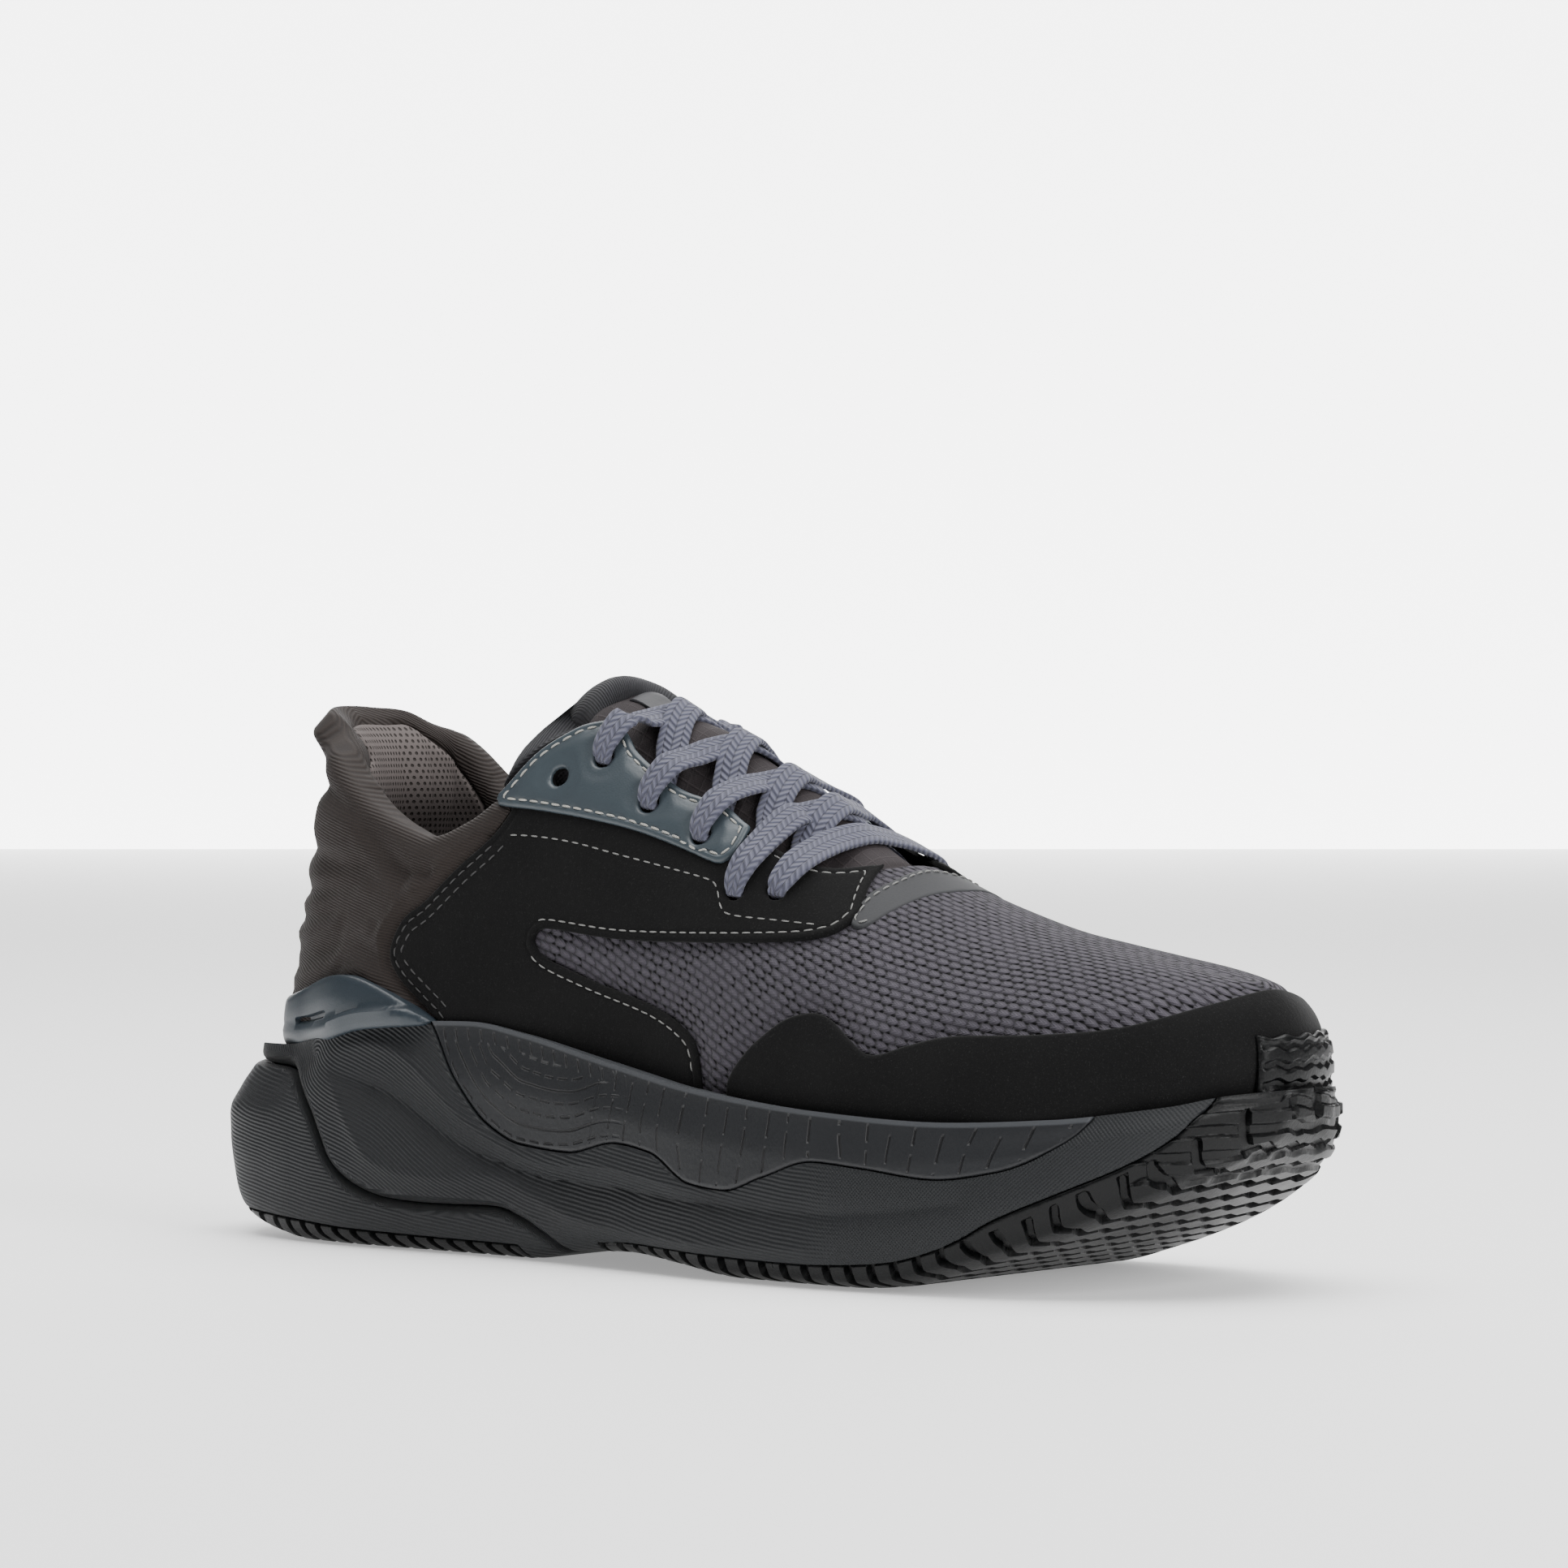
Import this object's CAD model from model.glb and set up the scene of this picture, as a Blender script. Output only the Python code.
"""A low running shoe for the right foot: sole, upper, tongue and lace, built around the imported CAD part."""

import math

import bpy
import numpy as np
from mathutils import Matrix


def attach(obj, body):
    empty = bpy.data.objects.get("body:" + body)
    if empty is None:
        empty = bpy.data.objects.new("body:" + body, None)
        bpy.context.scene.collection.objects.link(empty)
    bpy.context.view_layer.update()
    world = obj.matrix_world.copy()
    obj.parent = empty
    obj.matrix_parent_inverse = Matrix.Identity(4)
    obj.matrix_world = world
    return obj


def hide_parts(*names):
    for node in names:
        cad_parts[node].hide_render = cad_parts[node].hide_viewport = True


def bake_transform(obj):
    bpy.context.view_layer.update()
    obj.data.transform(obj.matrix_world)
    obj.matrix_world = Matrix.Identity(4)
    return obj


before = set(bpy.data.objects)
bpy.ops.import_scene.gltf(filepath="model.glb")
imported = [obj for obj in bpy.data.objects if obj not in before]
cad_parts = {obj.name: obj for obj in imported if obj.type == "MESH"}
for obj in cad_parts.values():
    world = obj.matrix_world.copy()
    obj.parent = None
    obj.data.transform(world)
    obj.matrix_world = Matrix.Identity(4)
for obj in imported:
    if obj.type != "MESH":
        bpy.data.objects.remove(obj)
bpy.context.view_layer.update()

# ---- helpers -------------------------------------------------------------------------------------
# Everything is worked out in millimetres: X runs from the heel to the toe, Y to the medial side and Z
# up. A piece is cut from a sheet of triangles by values that the sheet carries at its corners, and is
# the space between two depths under what is left.
MM = 0.001
SIDES = (("lateral", -1), ("medial", 1))


def smooth(a, b, x):
    t = np.clip((np.asarray(x, float) - a) / (b - a), 0, 1)
    return t * t * (3 - 2 * t)


def curve(points):
    """A cubic through [x, value] points, with slopes limited so that it doesn't overshoot."""
    xs, ys = np.array(points, float).T
    step = np.diff(ys) / np.diff(xs)
    a, b = step[:-1], step[1:]
    middle = np.where(a * b > 0, 2 * a * b / np.where(a * b > 0, a + b, 1), 0)
    slope = np.concatenate([step[:1], middle, step[-1:]])

    def value(x):
        x = np.clip(np.asarray(x, float), xs[0], xs[-1])
        i = np.clip(np.searchsorted(xs, x, side="right") - 1, 0, len(xs) - 2)
        h = xs[i + 1] - xs[i]
        t = (x - xs[i]) / h
        return ((2 * t**3 - 3 * t**2 + 1) * ys[i] + (t**3 - 2 * t**2 + t) * h * slope[i]
                + (3 * t**2 - 2 * t**3) * ys[i + 1] + (t**3 - t**2) * h * slope[i + 1])
    return value


def between(a, b, c, d, u):
    """A rounded path from b to c as u goes from 0 to 1, with a before them and d after them."""
    return 0.5 * (2 * b + (c - a) * u + (2 * a - 5 * b + 4 * c - d) * u**2 + (3 * b - a - 3 * c + d) * u**3)


def spline(points, steps=6, closed=False):
    """A rounded line through the points."""
    p = np.array(points, float)
    n = len(p)
    count = n if closed else n - 1
    s = np.arange(count * steps + (0 if closed else 1)) / steps
    i = np.minimum(s.astype(int), count - 1)
    u = (s - i)[:, None]
    pick = (lambda k: p[(i + k) % n]) if closed else (lambda k: p[np.clip(i + k, 0, n - 1)])
    return between(*(pick(k) for k in (-1, 0, 1, 2)), u)


def running(steps):
    """How far along a line each of its points is, from the lengths of its steps."""
    return np.concatenate([[0], np.cumsum(steps)])


def place(at, run, points):
    """The points of a line at some distances along it."""
    return np.stack([np.interp(at, run, column) for column in points.T], -1)


def line_distance(line, x, y):
    """Distance to an open line, and which side it is on: positive to its left."""
    best = np.full(np.shape(x), 1e12)
    side = np.zeros(np.shape(x))
    for (x0, y0), (x1, y1) in zip(line[:-1], line[1:]):
        dx, dy = x1 - x0, y1 - y0
        t = np.clip(((x - x0) * dx + (y - y0) * dy) / (dx * dx + dy * dy + 1e-12), 0, 1)
        d = (x - x0 - t * dx) ** 2 + (y - y0 - t * dy) ** 2
        nearer = d < best
        best = np.where(nearer, d, best)
        side = np.where(nearer, dx * (y - y0) - dy * (x - x0), side)
    return np.sqrt(best) * np.where(side < 0, -1, 1)


def within(outline, x, y):
    """How far inside a closed outline a point is, and negative outside it."""
    ring = np.vstack([outline, outline[:1]])
    inside = np.zeros(np.shape(x), bool)
    for (x0, y0), (x1, y1) in zip(ring[:-1], ring[1:]):
        if y0 != y1:
            inside ^= ((y0 > y) != (y1 > y)) & (x < x0 + (y - y0) * (x1 - x0) / (y1 - y0))
    return np.abs(line_distance(ring, x, y)) * np.where(inside, 1, -1)


def quads(a, b, c, d):
    """Two triangles for each quad of corners, in order round it."""
    return np.concatenate([np.stack(corners, 2).reshape(-1, 3) for corners in ((a, b, c), (a, c, d))])


def grid_faces(n, m):
    """The triangles of a grid of n by m corners."""
    ids = np.arange(n * m).reshape(n, m)
    return quads(ids[:-1, :-1], ids[1:, :-1], ids[1:, 1:], ids[:-1, 1:])


def outward(points):
    """The level direction away from the shoe's long axis, its toe end a little to the medial side."""
    x, y, _ = points.T
    away = np.stack([x - np.clip(x, -112, 112), y - 7 * smooth(100, 150, x), 0 * x], 1)
    return away / np.maximum(np.linalg.norm(away, axis=1), 1)[:, None]


class Sheet:
    """A surface of triangles that carries named values at its corners and is cut along lines of them."""

    def __init__(self, tris, **cols):
        self.tris, self.cols = tris, cols

    def __getitem__(self, name):
        return self.cols[name]

    def __setitem__(self, name, value):
        self.cols[name] = value

    def copy(self):
        return Sheet(self.tris, **self.cols)

    def cross(self):
        p, t = self["p"], self.tris
        return np.cross(p[t[:, 1]] - p[t[:, 0]], p[t[:, 2]] - p[t[:, 0]])

    def spread(self, per_face):
        count = len(self["p"])
        return sum(np.bincount(self.tris[:, k], per_face, count) for k in range(3))

    def normals(self):
        face = self.cross()
        n = np.stack([self.spread(face[:, k]) for k in range(3)], 1)
        return n / np.maximum(np.linalg.norm(n, axis=1), 1e-12)[:, None]

    def evened(self, f):
        """f rescaled to be a distance along the surface, near where it is zero."""
        p, t = self["p"], self.tris
        e1, e2 = p[t[:, 1]] - p[t[:, 0]], p[t[:, 2]] - p[t[:, 0]]
        n = np.cross(e1, e2)
        area = np.maximum((n**2).sum(1), 1e-9)
        d1, d2 = (f[t[:, 1]] - f[t[:, 0]])[:, None], (f[t[:, 2]] - f[t[:, 0]])[:, None]
        steep = np.linalg.norm(d1 * np.cross(e2, n) + d2 * np.cross(n, e1), axis=1) / area
        weight = np.sqrt(area)
        mean = self.spread(steep * weight) / np.maximum(self.spread(weight), 1e-9)
        return f / np.clip(mean, 0.25, None)

    def split(self, name, *levels):
        """New corners where the named value passes each level, so that edges there are clean."""
        for level in levels:
            f = self[name] - level
            f = np.where(np.abs(f) < 0.06, 0, f)
            self[name] = f + level
            t, sign = self.tris, np.sign(f)
            edges = np.sort(np.concatenate([t[:, [0, 1]], t[:, [1, 2]], t[:, [2, 0]]]), axis=1)
            crossing = sign[edges[:, 0]] * sign[edges[:, 1]] < 0
            if not crossing.any():
                continue
            found, where = np.unique(edges[crossing], axis=0, return_inverse=True)
            ids = np.full(len(edges), -1)
            ids[crossing] = len(f) + where.ravel()
            w = f[found[:, 0]] / (f[found[:, 0]] - f[found[:, 1]])
            for key, value in self.cols.items():
                share = w if value.ndim == 1 else w[:, None]
                a, b = value[found[:, 0]], value[found[:, 1]]
                self.cols[key] = np.concatenate([value, a + (b - a) * share])
            self.cols[name][len(f):] = level
            cut = ids.reshape(3, -1).T
            count = (cut >= 0).sum(1)
            out = [t[count == 0]]
            for k in range(3):
                a, b, c = t[:, k], t[:, (k + 1) % 3], t[:, (k + 2) % 3]
                ab, bc, ca = cut[:, k], cut[:, (k + 1) % 3], cut[:, (k + 2) % 3]
                two = (count == 2) & (bc < 0)
                out += [np.stack(q, 1)[two] for q in ((a, ab, ca), (ab, b, c), (ab, c, ca))]
                one = (count == 1) & (bc >= 0)
                out += [np.stack(q, 1)[one] for q in ((a, b, bc), (a, bc, c))]
            self.tris = np.concatenate(out)
        return self

    def keep(self, name, level=0.0):
        """Only what lies where the named value is above the level."""
        self.split(name, level)
        f = self[name][self.tris] - level
        return self.only((f.min(1) >= -1e-9) & (f.max(1) > 0))

    def only(self, mask):
        self.tris = self.tris[mask]
        used = np.unique(self.tris)
        new = np.full(len(self["p"]), -1)
        new[used] = np.arange(len(used))
        self.tris = new[self.tris]
        self.cols = {key: value[used] for key, value in self.cols.items()}
        return self


def mesh_object(name, points, faces, material, uv=None, sharp=38, **values):
    """An object from points in millimetres and triangles."""
    mesh = bpy.data.meshes.new(name)
    mesh.vertices.add(len(points))
    mesh.vertices.foreach_set("co", (points * MM).astype(np.float32).ravel())
    mesh.loops.add(faces.size)
    mesh.loops.foreach_set("vertex_index", faces.astype(np.int32).ravel())
    mesh.polygons.add(len(faces))
    mesh.polygons.foreach_set("loop_start", np.arange(0, faces.size, 3, dtype=np.int32))
    mesh.update(calc_edges=True)
    if uv is not None:
        mesh.uv_layers.new(name="flat").data.foreach_set("uv", uv[faces.ravel()].astype(np.float32).ravel())
    for key, value in values.items():
        mesh.attributes.new(key, "FLOAT", "POINT").data.foreach_set("value", value.astype(np.float32))
    mesh.shade_smooth()
    mesh.set_sharp_from_angle(angle=math.radians(sharp))
    mesh.materials.append(material)
    obj = bpy.data.objects.new(name, mesh)
    bpy.context.collection.objects.link(obj)
    return obj


def slab(sheet, outer, inner):
    """Points and triangles of the closed body between two depths under a sheet."""
    p, n, t = sheet["p"], sheet["n"], sheet.tris
    n = n / np.maximum(np.linalg.norm(n, axis=1), 1e-9)[:, None]
    edges = np.concatenate([t[:, [0, 1]], t[:, [1, 2]], t[:, [2, 0]]])
    _, first, count = np.unique(np.sort(edges, axis=1), axis=0, return_index=True, return_counts=True)
    a, b = edges[first[count == 1]].T
    m = len(p)
    side = np.concatenate([np.stack([b, a, a + m], 1), np.stack([b, a + m, b + m], 1)])
    points = np.concatenate([p - n * np.broadcast_to(outer, m)[:, None], p - n * np.broadcast_to(inner, m)[:, None]])
    return points, np.concatenate([t, t[:, ::-1] + m, side])


def body_of_sheet(name, sheet, outer, inner, material, body="shoe", nodes=(), slot=None, sharp=38, **values):
    points, faces = slab(sheet, outer, inner)
    uv = np.concatenate([sheet["uv"], sheet["uv"]]) if "uv" in sheet.cols else None
    twice = {key: np.concatenate([value, value]) for key, value in values.items()}
    obj = mesh_object(name, points, faces, material, uv, sharp, **twice)
    if body:
        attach(obj, body)
    if nodes:
        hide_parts(*nodes)
    return obj


def rounding(f, radius, depth):
    """Depth lost towards an edge that is rounded over: all of it at the edge, none at radius from it."""
    t = np.clip(1 - f / radius, 0, 1)
    return depth * (1 - np.sqrt(1 - t * t * 0.98))


class Shader:
    """A procedural material: other nodes come from node(), and numbers are Value objects."""

    def __init__(self, name, shade=1.0):
        self.shade = shade
        self.material = bpy.data.materials.new(name)
        self.material.use_nodes = True
        self.tree = self.material.node_tree
        self.out = self.tree.nodes["Principled BSDF"]
        self.object = self.node("ShaderNodeTexCoord").outputs["Object"]

    def put(self, node, inputs):
        for key, value in inputs.items():
            value = getattr(value, "socket", value)
            if isinstance(value, bpy.types.NodeSocket):
                self.tree.links.new(value, node.inputs[key])
            else:
                node.inputs[key].default_value = value
        return node

    def node(self, kind, settings=(), inputs=()):
        node = self.tree.nodes.new(kind)
        for key, value in dict(settings).items():
            setattr(node, key, value)
        return self.put(node, dict(inputs))

    def value(self, socket):
        return Value(self, socket)

    def named(self, name):
        return self.value(self.node("ShaderNodeAttribute", {"attribute_name": name}).outputs["Fac"])

    def axes(self, socket=None):
        """X, Y and Z in millimetres of the object, or of another position."""
        split = self.node("ShaderNodeSeparateXYZ", (), {0: socket or self.object})
        return [self.value(split.outputs[k]) * (1000 if socket is None else 1) for k in range(3)]

    def flat(self):
        """The piece's own two coordinates, in millimetres."""
        return self.axes(self.node("ShaderNodeUVMap", {"uv_map": "flat"}).outputs["UV"])[:2]

    def noise(self, scale, detail=2.0, at=None, roughness=0.5):
        """Noise from 0 to 1; scale is in features per metre, or per millimetre of a position given."""
        node = self.node("ShaderNodeTexNoise", (), {
            "Vector": at or self.object, "Scale": scale, "Detail": detail, "Roughness": roughness})
        return self.value(node.outputs["Fac"])

    def colour(self, amount, first, second):
        """From the first colour to the second; screen colours are darkened by the material's shade."""
        first, second = (tint(c, self.shade) if isinstance(c, str) else c for c in (first, second))
        node = self.node("ShaderNodeMix", {"data_type": "RGBA"}, {0: amount, 6: first, 7: second})
        return node.outputs[2]

    def bump(self, height, distance, under=None):
        """Height from 0 to 1 stands for distance in millimetres."""
        inputs = {"Height": height, "Distance": distance * MM}
        if under is not None:
            inputs["Normal"] = under
        return self.node("ShaderNodeBump", (), inputs).outputs[0]

    def finish(self, **inputs):
        self.put(self.out, {key.replace("_", " "): value for key, value in inputs.items()})
        return self.material


class Value:
    """A number in a material, worked with as in arithmetic."""

    def __init__(self, shader, socket):
        self.shader, self.socket = shader, socket

    def op(self, kind, *others):
        inputs = dict(enumerate((self,) + others))
        return Value(self.shader, self.shader.node("ShaderNodeMath", {"operation": kind}, inputs).outputs[0])

    def __neg__(self):
        return self * -1

    def __rsub__(self, other):
        return self * -1 + other

    def wave(self, pitch):
        """A sine from -1 to 1 that comes round once every pitch."""
        return (self * (2 * math.pi / pitch)).sin()

    def ramp(self, a, b):
        """0 up to a, 1 from b on, and smooth between them."""
        node = self.shader.node("ShaderNodeMapRange", {"interpolation_type": "SMOOTHSTEP"},
                                {0: self, 1: a, 2: b})
        return Value(self.shader, node.outputs[0])


for kind, *names in (("ADD", "__add__", "__radd__"), ("SUBTRACT", "__sub__"), ("MULTIPLY", "__mul__", "__rmul__"),
                     ("DIVIDE", "__truediv__"), ("MINIMUM", "min"), ("MAXIMUM", "max"), ("POWER", "power"),
                     ("GREATER_THAN", "above"), ("SINE", "sin"), ("ABSOLUTE", "abs"), ("FLOOR", "floor"),
                     ("FRACT", "frac")):
    for name in names:
        setattr(Value, name, lambda self, *others, kind=kind: self.op(kind, *others))


def tint(text, shade):
    """A linear colour from a hexadecimal screen colour, darkened to a share of it."""
    value = [int(text[k:k + 2], 16) / 255 for k in (0, 2, 4)]
    return [(v / 12.92 if v < 0.04 else ((v + 0.055) / 1.055) ** 2.4) * shade for v in value] + [1.0]


# ---- sole: foam ----------------------------------------------------------------------------------
# Two blocks of moulded EVA foam: a pod round the heel, and the long midsole over it with its leaf
# shaped facets. Both leave the mould with fine ribs on the walls, and are glued along a deep groove.
SOLE_END = 154  # the sole reaches this far both ways from the middle
ground = curve([[-154, 24], [-152, 18], [-146, 10], [-138, 5], [-125, 1.5], [-112, 0], [-36, 0],
                [-20, 2.6], [-4, 3.6], [14, 2], [34, 0], [66, 0], [80, 1], [95, 5], [110, 10], [122, 15],
                [133, 20.5], [142, 26], [148, 30.5], [152, 35], [154, 40]])
seam = curve([[-154, 31], [-152, 38], [-147, 44], [-142, 46.5], [-124, 47], [-101, 50], [-86, 53.5],
              [-66, 55], [-53, 55.3], [-37, 53.3], [-9, 48.2], [22, 43.2], [60, 39.8], [92, 38.5],
              [119, 39.7], [139, 42.7], [147, 45], [154, 46]])
sole_lateral = curve([[-152.5, 10], [-149, 18.3], [-143.5, 25.5], [-136, 31.2], [-126, 35.2], [-112, 38.5],
                      [-90, 41], [-50, 41.3], [0, 47], [30, 52], [60, 54], [90, 52], [105, 48], [120, 42],
                      [133, 33], [140, 26], [146, 18], [150, 10], [152.5, 3]])
sole_medial = curve([[-152.5, 10], [-149, 18.3], [-143.5, 25.5], [-136, 31.2], [-126, 35.2], [-112, 38],
                     [-90, 38.5], [-50, 36], [-20, 36.5], [0, 40], [30, 48.5], [60, 53.9], [90, 53.9],
                     [114, 50.5], [133, 42], [145, 31], [151, 21], [152.5, 16.5]])
WELT = 3.5      # how far the top of the wall leans in to the upper
NOSE = 1.5      # the plan is rounded off over this length at both ends
MESH_PITCH = 0.95


def even(x, *ys, pitch):
    """Places x so that no step along any of the lines is longer than pitch."""
    length = np.maximum.reduce([np.hypot(np.diff(x), np.diff(y)) for y in ys])
    total = running(length)
    return np.interp(np.linspace(0, total[-1], int(total[-1] / pitch) + 1), total, x)


def sole_plan(x):
    """Both edges of the sole in plan view, closed at its two ends."""
    end = np.clip((np.abs(x) - SOLE_END + NOSE) / NOSE, 0, 1)
    share = np.sqrt(1 - end**2)
    lateral, medial = -sole_lateral(x), sole_medial(x)
    middle = (lateral + medial) / 2
    return middle + (lateral - middle) * share, middle + (medial - middle) * share, middle


def sole_sheet(pitch):
    x = -SOLE_END * np.cos(np.linspace(0, math.pi, 6001))
    lateral, medial, _ = sole_plan(x)
    x = even(x, lateral, medial, pitch=pitch)
    lateral, medial, middle = sole_plan(x)
    wall = np.array([(0, 0), (0.4, 0), (0.74, 0), (0.9, 0.05), (0.97, 0.18), (1, 0.42), (0.985, 0.7), (0.96, 1)])
    run = running(np.hypot(*(np.diff(wall, axis=0) * (50, 45)).T))
    rows = np.linspace(0, run[-1], int(run[-1] / pitch))
    out = curve(np.stack([run, wall[:, 0]], 1))(rows)
    up = curve(np.stack([run, wall[:, 1]], 1))(rows)
    halves = []
    for reach in (lateral - middle, medial - middle):
        size = np.maximum(np.abs(reach), 1e-6)[:, None]
        top = np.maximum(0.6, 1 - WELT / size)
        share = out - (0.96 - top) * smooth(0.72, 1, up)
        y = middle[:, None] + reach[:, None] * share
        z = ground(x)[:, None] + (seam(x) - ground(x))[:, None] * up
        halves.append(np.stack([np.broadcast_to(x[:, None], y.shape), y, z], 2))
    grid = np.concatenate([halves[0][:, ::-1], halves[1][:, 1:]], 1)
    stations, count = grid.shape[:2]
    ids = np.arange(stations * count).reshape(stations, count)
    for end in (0, -1):
        ids[end, count // 2:] = ids[end, :count // 2 + 1][::-1]
    a, b, c, d = ids[:-1, :-1], ids[1:, :-1], ids[1:, 1:], ids[:-1, 1:]
    tris = quads(a, d, c, b)
    tris = tris[(tris[:, 0] != tris[:, 1]) & (tris[:, 1] != tris[:, 2]) & (tris[:, 0] != tris[:, 2])]
    sheet = Sheet(tris, p=grid.reshape(-1, 3))
    sheet["up"] = np.concatenate([up[::-1], up[1:]])[None].repeat(stations, 0).ravel()
    sheet.only(np.ones(len(tris), bool))
    sheet["n"] = sheet.normals()
    x, _, z = sheet["p"].T
    out = smooth(-98, -124, x) * rear_bulge(z) + smooth(116, 143, x) * toe_bulge(z)
    sheet["p"] = sheet["p"] + outward(sheet["p"]) * out[:, None]
    sheet["n"] = sheet.normals()
    return sheet


rear_bulge = curve([[0, -1], [14, -0.9], [24, -0.4], [31, -0.8], [36, -2.8], [40, -4.6], [44, -6], [50, -6.4]])
toe_bulge = curve([[20, 0], [26, 0.8], [32, 1.8], [38, 2.7], [48, 3.1]])
sole = sole_sheet(MESH_PITCH)
SX, SZ = sole["p"][:, 0], sole["p"][:, 2]

pod_edge = spline([[-170, 47.5], [-155, 45], [-146.5, 43.2], [-130, 42.8], [-121, 42.4], [-115.4, 41], [-110, 37.6],
                   [-104.5, 32.3], [-100.8, 26.8], [-96.5, 20.2], [-90, 15.5], [-81.5, 12.6], [-70, 11.6],
                   [-58, 11.6], [-43, 11.8], [-35.5, 10], [-30.2, 7.8], [-24, 3], [-20, -10]])
heel_rubber_edge = curve([[-154, 8.5], [-140, 6.6], [-128, 6], [-112, 5.2], [-90, 4], [-60, 3.4], [-37, 3.2]])
fore_rubber_edge = spline([[-11, -30], [-11.5, -4], [-11, 4.5], [-7, 5.6], [4, 6.2], [30, 5.6], [60, 5.2], [80, 6.4],
                           [91.5, 9], [100, 12.5], [108.6, 17.5], [122.9, 24], [134.9, 30], [143, 36.1],
                           [147, 42.5], [148.5, 47], [149, 52], [150, 80]])
frame_edge = curve([[-70, 62], [-67, 56], [-65.6, 54.3], [-55.8, 41.5], [-45, 31.5], [-33.7, 27.3], [-17, 26.3],
                    [-1, 29.3], [11, 27.9], [25, 21.7], [35.7, 20.8], [48, 24.4], [62.7, 28.5], [76, 27.6],
                    [94.5, 26], [109, 28], [121, 33.5], [129, 43], [130.5, 60]])
sole["pod"] = sole.evened(line_distance(pod_edge, SX, SZ) * -1)
sole["heel_rubber"] = np.minimum(sole.evened(heel_rubber_edge(SX) - SZ), -37 - SX)
sole["fore_rubber"] = sole.evened(line_distance(fore_rubber_edge, SX, SZ) * -1)
sole["frame"] = np.minimum(sole.evened(SZ - frame_edge(SX)), np.minimum(SX + 68, 130.5 - SX))

# Facets: a fold line that runs forward from the stabiliser, with crests above and below it.
fold_line = spline([[-104, 45], [-97.7, 41.7], [-78.1, 37.1], [-57.2, 27.1], [-38.5, 22], [-23.8, 19.7], [4.2, 18.4],
                    [39.1, 16.8], [70, 17], [100, 20.5]])
low_crest = spline([[-99, 43], [-89.8, 30.3], [-80.2, 21], [-62.4, 18.2], [-43.1, 19.4], [-30, 16], [-12.6, 11],
                    [10, 8.6], [60, 9]])
high_crest = spline([[-110, 43], [-96.6, 46.5], [-83.4, 48.5], [-71.8, 46], [-62.4, 40], [-51, 32], [-37.3, 26],
                     [-23.8, 23.3], [-5, 23.8], [12, 22], [30, 19]])
fold = line_distance(fold_line, SX, SZ)
low = line_distance(low_crest, SX, SZ)
high = line_distance(high_crest, SX, SZ)
strength = smooth(-104, -84, SX) * (1 - 0.5 * smooth(10, 95, SX))
strength *= (1 - smooth(95, 112, SX)) * smooth(0.03, 0.2, sole["up"])
rise = strength * (-2.6 * np.exp(-np.abs(fold) / 4.5) + 1.5 * np.exp(-np.abs(low) / 4)
                   + 1.5 * np.exp(-np.abs(high) / 3.5) * (1 - smooth(15, 35, SX)))
back = smooth(-112, -126, SX) * np.exp(-((SZ - 30) / 3.2) ** 2) * 0.5
sole["rise"] = rise + back
sole["grain"] = (SZ + 0.14 * SX) * smooth(-2, 2, sole["pod"]) + (fold + 0.1 * SX) * (1 - smooth(-2, 2, sole["pod"]))


def foam_material():
    s = Shader("midsole_foam", 0.3)
    x, _, z = s.axes()
    grain = s.named("grain")
    wander = s.noise(60, 1.0) * 1.4
    ribs = (grain + wander).wave(0.95) * 0.5 + 0.5
    weave = x.wave(0.9) * z.wave(0.9) * 0.5 + 0.5
    front = x.ramp(55, 75)
    pattern = ribs * (1 - front) + weave * front
    cloud = s.noise(35, 3.0)
    base = s.colour(cloud, "2c2e31", "3a3d40")
    base = s.colour(pattern * 0.35, base, "484b4f")
    height = pattern * 0.7 + s.noise(1500, 2.0) * 0.3
    return s.finish(Base_Color=base, Roughness=cloud * 0.12 + 0.5, Normal=s.bump(height, 0.2),
                    Specular_IOR_Level=0.25)


foam = foam_material()


def part_of(sheet, name, *fields, levels=(0.12, 0.4, 0.9)):
    """The part of a sheet inside every field, with clean edges and rings of corners beside them."""
    piece = sheet.copy()
    piece["edge"] = np.minimum.reduce([piece[f] if isinstance(f, str) else f for f in fields])
    piece["n"] = piece["n"].copy()
    piece.keep("edge")
    if not len(piece.tris):
        raise RuntimeError(f"{name} is empty")
    return piece.split("edge", *levels)


def shelf(sheet):
    """How thick a wall is: at the back it thickens into the shelf that the upper stands on."""
    x, _, z = sheet["p"].T
    return 6.5 + 8.5 * smooth(-104, -130, x) * smooth(24, 36, z)


pod = part_of(sole, "pod", sole["pod"] - 0.14, -sole["heel_rubber"] - 0.1, levels=(0.12, 0.5, 1.1, 2))
pod_round = rounding(np.where(pod["heel_rubber"] < -2.6, pod["edge"], 9), 2.6, 2.4) + rounding(pod["edge"], 0.5, 0.35)
body_of_sheet("midsole_heel_pod", pod, pod_round - pod["rise"] * (pod["pod"] > 0), shelf(pod), foam,
              nodes=["midsole_heel_pod"], slot="midsole_foam", grain=pod["grain"])
lower = part_of(sole, "lower", -sole["pod"] - 0.14, -sole["heel_rubber"] - 0.1, -sole["fore_rubber"] - 0.1,
                -sole["frame"] - 0.12, levels=(0.12, 0.5, 1.1))
near_pod = np.where(lower["pod"] > -3, -lower["pod"] - 0.14, 9)
body_of_sheet("midsole_lower", lower,
              rounding(near_pod, 1.8, 1.9) + rounding(lower["edge"], 0.5, 0.35) - lower["rise"], shelf(lower), foam,
              nodes=["midsole_lower"], slot="midsole_foam", grain=lower["grain"])

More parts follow.
